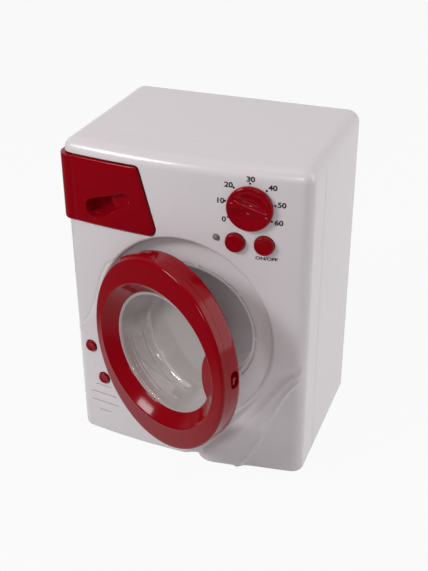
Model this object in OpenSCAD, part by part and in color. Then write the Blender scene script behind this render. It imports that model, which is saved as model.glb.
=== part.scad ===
// Toy washing machine with a swinging door, a turning drum, a detergent drawer, a timer knob and buttons.
// Millimetres. +Z is up, the front faces -Y and +X is to the viewer's right. The origin is the centre
// of the base. The door is drawn in the closed place and turned about its hinge to its rest place, ajar.

/* [Casing] */
// Width of the casing
body_w = 178; // [170:1:216]
// Height of the casing
body_h = 240; // [232:1:300]
// Depth of the casing at its sides
body_d = 128.4; // [124:0.2:160]
// How far the middle of the front bulges past its sides
front_bulge = 8.1; // [5:0.1:10]
// Thickness of the moulded walls
wall = 2.2; // [1.8:0.1:2.7]
// Radius of the upright and top edges
edge_r = 9; // [6:0.5:11]
// Radius of the bottom edges
base_edge_r = 2.5; // [1.5:0.5:4]
// Depth of the front shell, from the foremost point to the seam
front_shell_d = 38.5; // [34:0.5:48]

/* [Door recess] */
// Height of the door's centre above the base
door_z = 107.5; // [102:0.5:110]
// Gap between the door ring and the wall of the recess, at the sides
recess_gap = 2.7; // [2.4:0.1:3.5]
// Gap between the back of the closed door and the floor of the recess
floor_gap = 3.6; // [1.5:0.1:4]
// Depth of the recess at the middle of the front
recess_depth = 10.5; // [8:0.5:12]
// Width of each arc slot in the recess floor
slot_w = 1.2; // [0.8:0.1:1.5]
// Number of arc slots
slot_count = 9; // [8:1:16]

/* [Door] */
// Half the width of the oval door ring
door_rx = 62.5; // [51:0.5:65]
// Half the height of the oval door ring
door_rz = 73; // [59:0.5:74]
// How far the door's centre stands right of the recess's centre
door_shift = 2.1; // [1:0.1:2.2]
// Depth of the ring's outer wall
ring_depth = 16.8; // [15.6:0.1:20]
// Depth of the rear ring
rear_ring_depth = 10; // [9.5:0.1:11]
// How far the round crest stands in front of the outer edge
crest_rise = 1; // [0.6:0.1:2.4]
// Width of the ring between its outer wall and the crest, at the sides
crest_set = 8.8; // [6.5:0.1:10]
// Width of the inner cone between the crest and the window
cone_w = 8.4; // [6:0.1:9]
// Depth of the window's edge behind the outer edge
window_drop = 7.2; // [6:0.2:8.6]
// Thickness of the ring's walls
ring_wall = 2; // [1.6:0.1:2.4]
// Thickness of the clear window
window_t = 1.5; // [1.2:0.1:2]
// Depth of the window's bowl
bowl_depth = 25; // [18:1:28]
// How far the door stands open at rest, in degrees
door_open = 22.6; // [0:0.2:60]
// Radius of the hinge knuckles
knuckle_r = 2.4; // [2.2:0.1:2.8]
// Radius of the hinge pin
hinge_pin_r = 1.25; // [1:0.05:1.5]
// Height of the fixed hinge ear
ear_h = 12; // [10:1:16]

/* [Drum] */
// Radius of the mouth
mouth_r = 48; // [46:0.5:48.5]
// Width of the front lip
lip_w = 7; // [5:0.5:8]
// Length of the drum
drum_len = 58; // [50:1:60]
// Thickness of the drum's wall
drum_t = 1.6; // [1.2:0.1:2]
// Height of the lifters inside the drum
lifter_h = 9; // [6:0.5:12]
// Radius of the drum's shaft
shaft_r = 3; // [2.5:0.1:4]

/* [Drive] */
// Teeth of the drum gear
drum_teeth = 56; // [48:1:60]
// Teeth of the small idler gear
idler_small_teeth = 16; // [14:1:20]
// Module of the drum gear pair
slow_module = 1; // [0.9:0.1:1.1]
// Teeth of the large idler gear
idler_large_teeth = 46; // [40:1:50]
// Teeth of the motor pinion
pinion_teeth = 14; // [12:1:16]
// Module of the motor pinion pair
fast_module = 0.7; // [0.6:0.1:0.8]
// Width of the slow pair of gears
slow_face = 5; // [4:0.5:6]
// Width of the fast pair of gears
fast_face = 4; // [3:0.5:5]

/* [Detergent drawer] */
// Distance of the drawer's top below the casing's top
drawer_drop = 10.2; // [9.5:0.1:14]
// Height of the drawer's front
drawer_h = 48.5; // [44:0.5:50]
// Width of the drawer's front along its top, from the casing's side
drawer_w_top = 59.5; // [56:0.5:66]
// Width of the drawer's front along its bottom, from the casing's side
drawer_w_bottom = 73; // [70:0.5:80]
// How far the drawer's front stands proud of the casing
drawer_proud = 1.5; // [1:0.1:2]
// How far the drawer's front wraps back along the side
drawer_wrap = 22; // [16:1:28]
// Gap around the drawer's front
drawer_gap = 0.5; // [0.4:0.1:0.8]
// Travel of the drawer
drawer_travel = 36; // [30:1:44]
// Length of the tray that stays in its guide when the drawer is out
tray_keep = 10; // [6:1:20]

/* [Timer knob] */
// Distance of the knob's centre from the casing's right side
knob_in = 40; // [38:0.5:44]
// Distance of the knob's centre below the casing's top
knob_drop = 28; // [27:0.5:30]
// Radius of the knob
knob_r = 15.6; // [13:0.1:16.5]
// How far the knob stands proud of the front
knob_h = 4; // [4:0.5:7]
// Angle of the knob's ridge at rest, from the viewer's right, in degrees
knob_rest = -19; // [-30:1:30]

/* [Push buttons] */
// Height of the push buttons below the casing's top
button_drop = 53.6; // [52:0.2:56]
// Distance of the start button from the casing's right side
start_in = 49.7; // [49:0.1:52]
// Distance of the power button from the casing's right side
power_in = 30.2; // [28:0.1:31]
// Radius of the push buttons
button_r = 6.7; // [5.6:0.1:7.2]
// How far the push buttons stand proud
button_proud = 3.2; // [2.5:0.1:4.5]
// Travel of the push buttons
button_travel = 2; // [1:0.1:2.4]
// Distance of the lamp from the casing's right side
lamp_in = 62.7; // [61:0.1:64]
// Radius of the lamp
lamp_r = 2.3; // [1.5:0.1:2.5]

/* [Lower buttons and speaker] */
// Radius of the lower buttons
low_button_r = 4.5; // [3.6:0.1:5]
// How far the lower buttons stand proud
low_button_proud = 1.8; // [1.2:0.1:2.5]
// Travel of the lower buttons
low_button_travel = 1.2; // [0.8:0.1:1.5]
// Distance of the upper one from the casing's left side
upper_in = 12.9; // [12.5:0.1:14]
// Height of the upper one
upper_z = 77.2; // [76:0.2:82]
// Distance of the lower one from the casing's left side
lower_in = 22.7; // [21:0.1:24]
// Height of the lower one
lower_z = 51.2; // [50:0.2:54]
// Distance of the speaker's axis from the casing's left side
speaker_in = 21.5; // [20:0.5:24]
// Height of the speaker's axis
speaker_z = 28; // [27:0.5:29]
// Radius of the speaker
speaker_r = 14; // [11:0.5:14]
// Width of the sound slots
sound_slot_w = 1; // [0.8:0.1:1.4]

/* [Batteries] */
// Radius of a cell
cell_r = 7.15; // [7:0.05:7.25]
// Length of a cell
cell_len = 50; // [49:0.5:51]
// Height of the battery cover's bottom edge
cover_z = 16; // [12:0.5:18]

/* [Fasteners] */
// Radius of the casing's long screws
case_screw_r = 1.4; // [1.2:0.1:1.6]
// Radius of the small screws
small_screw_r = 1; // [0.8:0.1:1.2]
// Radius of the gearbox screws
gear_screw_r = 1.5; // [1.2:0.1:1.7]

/* [Hidden] */

// Running clearance of a shaft in its bore
run = 0.05;
// Gap between parts that only face each other
gap = 0.3;
// Overlap that lets a cut pass clean through a face
over = 1;
round_fn = 96;
oval_points = 96;

white = "#f1eff0";
red = "#b50a20";
steel = "#b9bcc2";
dark = "#2b2c30";
green = "#2d6b45";
clear_plastic = [0.92, 0.94, 0.95, 0.35];

// The casing's frame
half_w = body_w / 2;
half_d = (body_d + front_bulge) / 2;
seam_y = front_shell_d - half_d;
inner_back_y = half_d - wall;

// The bulged front is part of an upright cylinder
front_r = (half_w * half_w + front_bulge * front_bulge) / (2 * front_bulge);
front_axis_y = front_r - half_d;
function front_y(x) = front_axis_y - sqrt(front_r * front_r - x * x);
function front_tilt(x) = asin(x / front_r);

// Door recess, from the front to the drum
recess_rx = door_rx + recess_gap;
recess_rz = door_rz + recess_gap - 1.5;
recess_floor_y = recess_depth - half_d;
recess_back_y = recess_floor_y + ring_wall;
collar_r = mouth_r + 1;
collar_end_y = recess_back_y + 6.8;
slot_r = collar_r + wall + 0.9;

// Door, in its closed place
door_back_y = recess_floor_y - floor_gap;
door_split_y = door_back_y - rear_ring_depth;
door_edge_y = door_back_y - ring_depth;
crest_y = door_edge_y - crest_rise;
window_y = door_edge_y + window_drop;
crest_r = door_rx - crest_set;
window_r = crest_r - cone_w;
flange_r = window_r + 4;
seat_r = window_r + 1.6;
hinge_x = door_shift - door_rx - 0.7;
hinge_y = door_split_y + 0.1;
boss_r = 3;
boss_ring_r = (flange_r + ring_wall + door_rx) / 2 + 0.6;
corner_r = door_rx * door_rz / sqrt((door_rx * door_rx + door_rz * door_rz) / 2);
boss_rise = crest_rise * (corner_r - boss_ring_r) / (corner_r - crest_r);
boss_front_y = door_edge_y - boss_rise + 0.6 * ring_wall;
latch_z = 4.7;

// Drum and drive
drum_r = mouth_r + lip_w;
drum_front_y = collar_end_y + 1;
drum_back_y = drum_front_y + drum_len;
plate_t = 2.5;
plate_front_y = drum_back_y + 7;
slow_y = plate_front_y + plate_t + 1.5;
fast_y = slow_y + slow_face + 1;
plate_rear_y = fast_y + fast_face + 1.5;
slow_centres = slow_module * (drum_teeth + idler_small_teeth) / 2;
fast_centres = fast_module * (idler_large_teeth + pinion_teeth) / 2;
idler_angle = 60;
idler_x = slow_centres * cos(idler_angle);
idler_z = door_z + slow_centres * sin(idler_angle);
motor_x = idler_x;
motor_z = idler_z + fast_centres;
motor_shaft_r = 1;
motor_r = 10;
motor_len = 25;
idler_pin_r = 1.5;
plate_left = -34;
plate_right = motor_x + 22;
plate_bottom = door_z - 34;
plate_top = motor_z + 15;
pillar_in = 6;
pillar_r = 3.6;

// Detergent drawer
drawer_top_z = body_h - drawer_drop;
drawer_bottom_z = drawer_top_z - drawer_h;
drawer_right_top = drawer_w_top - half_w;
drawer_right_bottom = drawer_w_bottom - half_w;
drawer_skin = 2.7;
tray_left = 10 - half_w;
tray_right = drawer_right_top - 7.5;
tray_bottom = drawer_bottom_z + 6.7;
tray_top = drawer_top_z - 10.8;
tray_front_y = -52;
tray_back_y = tray_front_y + drawer_travel + tray_keep;
tray_t = 1.5;
guide_t = 1.6;
guide_gap = 0.4;
flange_front_y = -58;
pocket_x = 26 - half_w;
pocket_z = drawer_bottom_z + 14.5;

// Controls on the front
knob_x = half_w - knob_in;
knob_z = body_h - knob_drop;
button_z = body_h - button_drop;
start_x = half_w - start_in;
power_x = half_w - power_in;
lamp_x = half_w - lamp_in;
lamp_z = button_z + 1.7;
board_y = -50;
board_t = 1.6;
switch_h = 3.5;
nub_h = 0.7;
button_flange = 1.3;
upper_x = upper_in - half_w;
lower_x = lower_in - half_w;
side_board_y = -49;
speaker_x = speaker_in - half_w;
sound_slots = [[15.2, 14], [7.4, 22], [-0.4, 24], [-8.3, 10]];
board_posts = [[half_w - 71, button_z + 7], [half_w - 12.5, button_z - 5.5]];
side_posts = [[8.5 - half_w, 47.5], [8.5 - half_w, 64.5]];
timer_size = 25;
timer_ear = 17;

// Batteries
cell_pitch = 2 * cell_r + 1.2;
bay_half_w = cell_len / 2 + 4;
bay_bottom = cover_z + 2.5;
bay_top = bay_bottom + 3 * cell_pitch + 1;
bay_front_y = inner_back_y - 2 * cell_r - 3.7;
cell_y = bay_front_y + cell_r + 2.3;
cover_half_w = bay_half_w + 2;
cover_top = bay_top + 7.5;
cover_gap = 0.3;
cover_screw_z = bay_top + 4;

// Casing screws
post_x = half_w - 19;
post_z = [9, body_h - 13];
hung_post_y = seam_y - 18;
screw_seat_y = seam_y + 10;

// Stretches of a solid along an axis, drawn from an outline seen from the front or the side
module along_y(y0, y1) {
  translate([0, y1, 0]) rotate([90, 0, 0]) linear_extrude(y1 - y0) children();
}

module along_x(x0, x1) {
  translate([x0, 0, 0]) rotate([90, 0, 90]) linear_extrude(x1 - x0) children();
}

module rod_y(r, y0, y1) {
  translate([0, y1, 0]) rotate([90, 0, 0]) cylinder(r = r, h = y1 - y0, $fn = round_fn);
}

module cone_y(r0, r1, y0, y1) {
  translate([0, y1, 0]) rotate([90, 0, 0]) cylinder(r1 = r1, r2 = r0, h = y1 - y0, $fn = round_fn);
}

// Solid turned about the Y axis from an outline of [radius, y] points
module turned(outline) {
  rotate([-90, 0, 0]) rotate_extrude($fn = round_fn) polygon(outline);
}

module block(x0, x1, y0, y1, z0, z1) {
  translate([x0, y0, z0]) cube([x1 - x0, y1 - y0, z1 - z0]);
}

module at(x, z) {
  translate([x, 0, z]) children();
}

// Rectangle with one radius at its top corners and another at its bottom corners
module rounded_panel(x0, x1, z0, z1, r_top, r_bottom) {
  for (x = [x0 + r_top, x1 - r_top]) translate([x, z1 - r_top]) circle(r = r_top, $fn = round_fn);
  for (x = [x0 + r_bottom, x1 - r_bottom]) translate([x, z0 + r_bottom]) circle(r = r_bottom, $fn = round_fn);
  translate([x0, z0 + r_bottom]) square([x1 - x0, z1 - r_top - z0 - r_bottom]);
  translate([x0 + r_top, z1 - 2 * r_top]) square([x1 - x0 - 2 * r_top, 2 * r_top]);
  translate([x0 + r_bottom, z0]) square([x1 - x0 - 2 * r_bottom, 2 * r_bottom]);
}

module oval(rx, rz) {
  polygon([
    for (i = [0 : oval_points - 1]) [rx * cos(360 * i / oval_points), rz * sin(360 * i / oval_points)]
  ]);
}

// Plan of the casing: straight sides, round corners and a bulged front
module plan_outline(inset) {
  r = max(edge_r - inset, 1);
  big_r = front_r - inset + 0.02;
  corner_x = half_w - inset - r;
  corner_y = front_axis_y - sqrt(pow(big_r - r, 2) - corner_x * corner_x);
  tangent_x = corner_x * big_r / (big_r - r);
  back_y = half_d - inset;
  for (s = [-1, 1]) {
    translate([s * corner_x, corner_y]) circle(r = r, $fn = round_fn);
    translate([s * corner_x, back_y - r]) circle(r = r, $fn = round_fn);
  }
  translate([-corner_x - r, corner_y]) square([2 * (corner_x + r), back_y - r - corner_y]);
  translate([-corner_x, 0]) square([2 * corner_x, back_y]);
  intersection() {
    translate([0, front_axis_y]) circle(r = big_r, $fn = 720);
    translate([-tangent_x, -half_d - over]) square([2 * tangent_x, half_d + 2 * over]);
  }
}

// The casing as one solid, smaller all round by the inset
module casing_form(inset) {
  r = max(edge_r - inset, 1);
  rb = max(base_edge_r - inset, 0.5);
  reach = body_d + front_bulge + 40;
  intersection() {
    translate([0, 0, inset]) linear_extrude(body_h - 2 * inset) plan_outline(inset);
    along_y(-half_d - 20, half_d + 20) {
      rounded_panel(inset - half_w, half_w - inset, inset, body_h - inset, r, rb);
    }
    along_x(-half_w - 20, half_w + 20) {
      rounded_panel(-half_d - 20, half_d - inset, inset, body_h - inset, r, rb);
    }
    translate([0, front_axis_y, 0]) rotate_extrude($fn = 720) {
      rounded_panel(front_r - inset - reach, front_r - inset, inset, body_h - inset, r, rb);
    }
  }
}

module casing_skin() {
  difference() {
    casing_form(0);
    casing_form(wall);
  }
}

// Parts of the front shell
module recess_form() {
  intersection() {
    casing_form(wall / 3);
    at(0, door_z) along_y(-half_d - over, recess_back_y) oval(recess_rx + ring_wall, recess_rz + ring_wall);
  }
  at(0, door_z) rod_y(collar_r + wall, recess_floor_y, collar_end_y);
}

module recess_hollow() {
  at(0, door_z) along_y(-half_d - 20, recess_floor_y) oval(recess_rx, recess_rz);
  at(0, door_z) rod_y(collar_r, recess_floor_y - over, collar_end_y + over);
}

module arc_slots() {
  bridge = 4;
  step = 360 / slot_count;
  at(0, door_z) for (i = [0 : slot_count - 1]) {
    rotate([0, -i * step, 0]) difference() {
      rod_y(slot_r + slot_w / 2, recess_floor_y - over, recess_back_y + over);
      rod_y(slot_r - slot_w / 2, recess_floor_y - 2 * over, recess_back_y + 2 * over);
      for (a = [bridge / 2, step - bridge / 2]) {
        s = a < step / 2 ? 1 : -1;
        rotate([0, -a, 0]) block(-100, 100, recess_floor_y - 2 * over, recess_back_y + 2 * over,
          s > 0 ? -100 : 0, s > 0 ? 0 : 100);
      }
    }
  }
}

module hinge_ear() {
  at(0, door_z) difference() {
    union() {
      translate([hinge_x, hinge_y, -ear_h / 2]) cylinder(r = knuckle_r, h = ear_h, $fn = round_fn);
      block(hinge_x - knuckle_r, hinge_x + knuckle_r, hinge_y, recess_back_y, -ear_h / 2, ear_h / 2);
      block(-recess_rx - over, hinge_x, -half_d + 5.5, recess_back_y, -ear_h / 2, ear_h / 2);
    }
    translate([hinge_x, hinge_y, -ear_h]) cylinder(r = hinge_pin_r + run, h = 2 * ear_h, $fn = round_fn);
  }
}

function arc_points(x, z, r, from, to, steps) =
  [for (i = [0 : steps]) let (a = from + (to - from) * i / steps) [x + r * cos(a), z + r * sin(a)]];

// Outline of the detergent drawer's front, seen from the front, grown all round
module drawer_outline(grow) {
  r_low = 5 + grow;
  r_top = 3 + grow;
  lean = atan((drawer_right_bottom - drawer_right_top) / drawer_h);
  low_x = drawer_right_bottom + grow - r_low * tan(45 + lean / 2);
  top_x = drawer_right_top + grow - r_top * tan(45 - lean / 2);
  z_low = drawer_bottom_z - grow;
  z_top = drawer_top_z + grow;
  left = -half_w - 20;
  polygon(concat(
    [[left, z_low]],
    arc_points(low_x, z_low + r_low, r_low, -90, lean, 10),
    arc_points(top_x, z_top - r_top, r_top, lean, 90, 6),
    [[left, z_top]]
  ));
}

module drawer_opening() {
  wrap_y = drawer_wrap - half_d + front_bulge + drawer_gap;
  along_y(-half_d - 20, wrap_y) drawer_outline(drawer_gap);
}

module sound_slot_cuts() {
  for (s = sound_slots) {
    at(speaker_x, speaker_z + s[0]) along_y(-half_d - 20, -half_d + 13.5) {
      square([s[1], sound_slot_w], center = true);
    }
  }
}

// A hollow post on the inside of the front, from the panel to a board
module panel_post(x, z, r, bore, y_end) {
  intersection() {
    casing_form(wall / 2);
    at(x, z) difference() {
      rod_y(r, -half_d - over, y_end);
      rod_y(bore, front_y(x) + wall + 1.2, y_end + over);
    }
  }
}

// The screw post behind the drawer hangs from the top wall, because the drawer takes up the front there
module hung_post() {
  intersection() {
    casing_form(wall / 2);
    at(-post_x, post_z[1]) difference() {
      union() {
        rod_y(3.6, hung_post_y, seam_y);
        block(-1.2, 1.2, hung_post_y, seam_y, 0, 20);
      }
      rod_y(case_screw_r, hung_post_y + 2, seam_y + over);
    }
  }
}

// Places a child on the front, with its axis square to the bulged surface
module on_front(x, z) {
  translate([x, front_y(x), z]) rotate([0, 0, front_tilt(x)]) children();
}

// Raised swoosh across the lower right of the front, between two S-curves
function blend_curve(a, b, c, d, t) =
  a * pow(1 - t, 3) + b * 3 * t * pow(1 - t, 2) + c * 3 * t * t * (1 - t) + d * pow(t, 3);

module swoosh() {
  rise = 1.6;
  steps = 14;
  upper = [for (i = [0 : steps]) blend_curve([half_w + 1, 95], [67, 86], [66, 44], [15, -2], i / steps)];
  lower = [for (i = [steps : -1 : 0]) blend_curve([half_w + 1, 86], [72, 80], [70, 40], [44, -2], i / steps)];
  intersection() {
    difference() {
      casing_form(-rise);
      casing_form(wall / 3);
    }
    along_y(-half_d - 20, -half_d + front_bulge + 3) polygon(concat(upper, lower));
    block(-half_w, half_w, -half_d - 20, half_d, 0, body_h);
  }
}

module front_shell() {
  speaker_wall = 1.6;
  color(white) difference() {
    union() {
      intersection() {
        casing_skin();
        block(-half_w - over, half_w + over, -half_d - over, seam_y, -over, body_h + over);
      }
      difference() {
        recess_form();
        arc_slots();
      }
      swoosh();
      for (p = [[-post_x, post_z[0]], [post_x, post_z[0]], [post_x, post_z[1]]]) {
        panel_post(p[0], p[1], 3.6, case_screw_r, seam_y);
      }
      hung_post();
      for (p = board_posts) panel_post(p[0], p[1], 2.8, small_screw_r, board_y);
      for (p = side_posts) panel_post(p[0], p[1], 2.5, small_screw_r, side_board_y);
      for (p = guide_holes()) panel_post(p[0], p[1], 3, small_screw_r, flange_front_y);
      intersection() {
        casing_form(wall / 2);
        on_front(knob_x, knob_z) for (s = [-1, 1]) at(s * timer_ear, 0) difference() {
          rod_y(2.6, 0, 8);
          rod_y(small_screw_r, wall + 1.5, 9);
        }
      }
      intersection() {
        casing_form(wall / 2);
        at(speaker_x, speaker_z) difference() {
          rod_y(speaker_r + 0.2 + speaker_wall, -half_d - over, -53);
          rod_y(speaker_r + 0.2, front_y(speaker_x) + wall, -52);
        }
      }
    }
    recess_hollow();
    drawer_opening();
    sound_slot_cuts();
    on_front(knob_x, knob_z) rod_y(5, -5, 8);
    for (x = [start_x, power_x]) at(x, button_z) rod_y(button_r + 0.2, -half_d - over, board_y - 6);
    at(lamp_x, lamp_z) rod_y(lamp_r + 0.2, -half_d - over, board_y - 6);
    at(upper_x, upper_z) rod_y(low_button_r + 0.2, -half_d - over, side_board_y - 6);
    at(lower_x, lower_z) rod_y(low_button_r + 0.2, -half_d - over, side_board_y - 6);
  }
  color(white) hinge_ear();
}

module rear_shell() {
  bay_wall = 1.8;
  ledge_y = inner_back_y - 2;
  color(white) difference() {
    union() {
      intersection() {
        casing_skin();
        block(-half_w - over, half_w + over, seam_y, half_d + over, -over, body_h + over);
      }
      intersection() {
        casing_form(wall / 2);
        for (x = [-post_x, post_x]) for (z = post_z) at(x, z) rod_y(4.6, seam_y, half_d);
      }
      for (p = pillar_places()) at(p[0], p[1]) {
        rod_y(pillar_r + 0.6, plate_rear_y + plate_t, inner_back_y + 1);
      }
      block(-bay_half_w - bay_wall, bay_half_w + bay_wall, bay_front_y - bay_wall, inner_back_y,
        bay_bottom - bay_wall, bay_top + bay_wall);
      block(-cover_half_w - 2, cover_half_w + 2, ledge_y, inner_back_y + 0.5, cover_z - 2, cover_top + 2);
      at(0, cover_screw_z) rod_y(3.2, inner_back_y - 11, inner_back_y);
    }
    for (x = [-post_x, post_x]) for (z = post_z) at(x, z) {
      rod_y(case_screw_r + 0.1, seam_y - over, screw_seat_y + over);
      rod_y(3.2, screw_seat_y, half_d + over);
    }
    for (p = pillar_places()) at(p[0], p[1]) rod_y(gear_screw_r, plate_rear_y, plate_rear_y + 9);
    block(-bay_half_w, bay_half_w, bay_front_y, half_d + over, bay_bottom, bay_top);
    block(-cover_half_w, cover_half_w, inner_back_y, half_d + over, cover_z, cover_top);
    at(0, cover_screw_z) rod_y(small_screw_r + 0.3 + run, inner_back_y - 10, half_d);
  }
}

function guide_holes() = [[drawer_right_top + 9, drawer_top_z - 4], [30 - half_w, drawer_bottom_z - 7]];

module drawer_guide() {
  clip_x = drawer_right_top - 6.5;
  flange_left = tray_left - 3;
  color(white) difference() {
    union() {
      along_y(flange_front_y, flange_front_y + guide_t) polygon([
        [flange_left, drawer_bottom_z - 11], [44 - half_w, drawer_bottom_z - 11],
        [clip_x, drawer_bottom_z + 3], [drawer_right_top + 13, drawer_bottom_z + 3],
        [drawer_right_top + 13, drawer_top_z + 1], [flange_left, drawer_top_z + 1]
      ]);
      block(tray_left - guide_gap - guide_t, tray_right + guide_gap + guide_t, flange_front_y,
        tray_back_y + 1 + guide_t, tray_bottom - guide_gap - guide_t, tray_top + guide_gap + guide_t);
    }
    block(tray_left - guide_gap, tray_right + guide_gap, flange_front_y - over, tray_back_y + 1,
      tray_bottom - guide_gap, tray_top + guide_gap);
    for (p = guide_holes()) at(p[0], p[1]) {
      rod_y(small_screw_r + 0.1, flange_front_y - over, flange_front_y + 3);
    }
  }
}

// Four corners of the gearbox plates
function pillar_places() = [
  [plate_left + pillar_in, plate_bottom + pillar_in], [plate_right - pillar_in, plate_bottom + pillar_in],
  [plate_left + pillar_in, plate_top - pillar_in], [plate_right - pillar_in, plate_top - pillar_in]
];

module plate_blank(y0) {
  along_y(y0, y0 + plate_t) rounded_panel(plate_left, plate_right, plate_bottom, plate_top, 6, 6);
}

module gear_plate_front() {
  color(white) difference() {
    union() {
      plate_blank(plate_front_y);
      for (p = pillar_places()) at(p[0], p[1]) rod_y(pillar_r, plate_front_y, plate_rear_y);
      at(idler_x, idler_z) rod_y(4, plate_front_y, slow_y - 0.4);
    }
    for (p = pillar_places()) at(p[0], p[1]) {
      rod_y(gear_screw_r + 0.1, plate_front_y - over, plate_rear_y + over);
    }
    at(0, door_z) rod_y(shaft_r + 2.5, plate_front_y - over, slow_y);
    at(idler_x, idler_z) rod_y(idler_pin_r, plate_front_y - over, slow_y);
  }
}

module gear_plate_rear() {
  color(white) difference() {
    plate_blank(plate_rear_y);
    for (p = pillar_places()) at(p[0], p[1]) {
      rod_y(gear_screw_r + 0.1, plate_rear_y - over, plate_rear_y + plate_t + over);
    }
    at(0, door_z) rod_y(shaft_r + run, plate_rear_y - over, plate_rear_y + plate_t + over);
    at(idler_x, idler_z) rod_y(idler_pin_r, plate_rear_y - over, plate_rear_y + plate_t + over);
    at(motor_x, motor_z) rod_y(3, plate_rear_y - over, plate_rear_y + plate_t + over);
  }
}

module drum_bush() {
  color(steel) at(0, door_z) difference() {
    union() {
      rod_y(shaft_r + 2.5, plate_front_y - 1.5, slow_y - 0.5);
      rod_y(shaft_r + 4.5, plate_front_y - 1.5, plate_front_y);
    }
    rod_y(shaft_r + run, plate_front_y - 3, slow_y);
  }
}

module idler_pin() {
  color(steel) at(idler_x, idler_z) rod_y(idler_pin_r, plate_front_y + 0.5, plate_rear_y + plate_t);
}

module motor() {
  motor_y = plate_rear_y + plate_t;
  color(steel) at(motor_x, motor_z) difference() {
    union() {
      intersection() {
        rod_y(motor_r, motor_y, motor_y + motor_len);
        block(-motor_r, motor_r, motor_y, motor_y + motor_len, -7.5, 7.5);
      }
      rod_y(3, motor_y - 1.5, motor_y + over);
      rod_y(2.5, motor_y + motor_len - over, motor_y + motor_len + 2);
    }
    rod_y(motor_shaft_r + run, motor_y - 3, motor_y + motor_len - 2);
  }
}

module motor_shaft() {
  motor_y = plate_rear_y + plate_t;
  color(steel) at(motor_x, motor_z) rod_y(motor_shaft_r, fast_y - 0.5, motor_y + motor_len - 3);
}

module circuit_board() {
  color(green) difference() {
    block(half_w - 75, half_w - 8, board_y, board_y + board_t, button_z - 9, button_z + 10.5);
    for (p = board_posts) at(p[0], p[1]) rod_y(small_screw_r + 0.1, board_y - over, board_y + board_t + over);
  }
  color(dark) block(half_w - 66, half_w - 52, board_y + board_t, board_y + board_t + 2.5,
    button_z - 5, button_z + 5);
}

// A tact switch: square box with a round nub towards the button
module switch(x, z, y_board, size) {
  color(dark) translate([x, 0, z]) {
    block(-size / 2, size / 2, y_board - switch_h, y_board, -size / 2, size / 2);
    rod_y(1.4, y_board - switch_h - nub_h, y_board - switch_h + 0.5);
  }
}

module board_switches() {
  switch(start_x, button_z, board_y, 6);
  switch(power_x, button_z, board_y, 6);
}

module side_board() {
  color(green) difference() {
    block(5.5 - half_w, 29 - half_w, side_board_y, side_board_y + board_t, lower_z - 7, upper_z + 7.5);
    for (p = side_posts) at(p[0], p[1]) {
      rod_y(small_screw_r + 0.1, side_board_y - over, side_board_y + board_t + over);
    }
  }
  switch(upper_x, upper_z, side_board_y, 4.4);
  switch(lower_x, lower_z, side_board_y, 4.4);
}

module timer_unit() {
  color(dark) on_front(knob_x, knob_z) difference() {
    union() {
      block(-timer_size / 2, timer_size / 2, wall + gap, wall + 10, -timer_size / 2, timer_size / 2);
      block(-timer_ear - 3, timer_ear + 3, 8, 9.5, -3, 3);
    }
    rod_y(3 + run, 0, wall + 8.5);
    for (s = [-1, 1]) at(s * timer_ear, 0) rod_y(small_screw_r + 0.1, 7, 11);
  }
}

module lamp() {
  y0 = front_y(lamp_x);
  color(clear_plastic) at(lamp_x, lamp_z) {
    rod_y(lamp_r, y0 + 0.6, board_y);
    intersection() {
      translate([0, y0 + 0.6, 0]) sphere(r = lamp_r, $fn = round_fn);
      rod_y(lamp_r, y0 - 3, y0 + 0.7);
    }
    rod_y(lamp_r + 0.6, board_y - 3, board_y - 2);
  }
}

module speaker() {
  color(dark) at(speaker_x, speaker_z) {
    rod_y(speaker_r, -58.6, -53);
    rod_y(speaker_r / 2, -54, -46);
  }
}

// Cells lie side by side, each turned round from the last
module battery_cells() {
  color("#3c4c66") for (i = [0 : 2]) {
    s = i % 2 == 0 ? 1 : -1;
    translate([0, cell_y, bay_bottom + (i + 0.5) * cell_pitch + 0.5]) rotate([0, 90, 0]) {
      translate([0, 0, -cell_len / 2 + (s > 0 ? 0 : 1)]) {
        cylinder(r = cell_r, h = cell_len - 1, $fn = round_fn);
      }
      translate([0, 0, s > 0 ? cell_len / 2 - 2 : -cell_len / 2]) cylinder(r = 2.7, h = 2, $fn = round_fn);
    }
  }
}

module battery_contacts() {
  color(steel) for (i = [0 : 2]) for (s = [-1, 1]) {
    translate([0, cell_y, bay_bottom + (i + 0.5) * cell_pitch + 0.5]) {
      plate_x = s > 0 ? bay_half_w - 0.6 : -bay_half_w;
      block(plate_x, plate_x + 0.6, -5, 5, -5.5, 5.5);
      rotate([0, 90, 0]) translate([0, 0, s > 0 ? cell_len / 2 + 0.3 : -bay_half_w + 0.3]) {
        cylinder(r = 3.2, h = bay_half_w - cell_len / 2 - 0.6, $fn = 48);
      }
    }
  }
}

// A screw along Y, with its head towards +Y or -Y
module screw(r, y_head, y_tip, head_r, head_h) {
  s = y_tip < y_head ? 1 : -1;
  rod_y(r, min(y_head, y_tip), max(y_head, y_tip));
  difference() {
    rod_y(head_r, min(y_head, y_head + s * head_h), max(y_head, y_head + s * head_h));
    for (a = [0, 90]) rotate([0, a, 0]) {
      block(-head_r * 0.6, head_r * 0.6, min(y_head + s * head_h * 0.5, y_head + s * head_h * 2),
        max(y_head + s * head_h * 0.5, y_head + s * head_h * 2), -0.35, 0.35);
    }
  }
}

module shell_screws() {
  color(steel) for (x = [-post_x, post_x]) for (z = post_z) {
    at(x, z) screw(case_screw_r, screw_seat_y, seam_y - 14, 2.8, 2);
  }
}

module gearbox_screws() {
  color(steel) for (p = pillar_places()) {
    at(p[0], p[1]) screw(gear_screw_r, plate_front_y, plate_rear_y + 8.5, 3, 1.8);
  }
}

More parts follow.
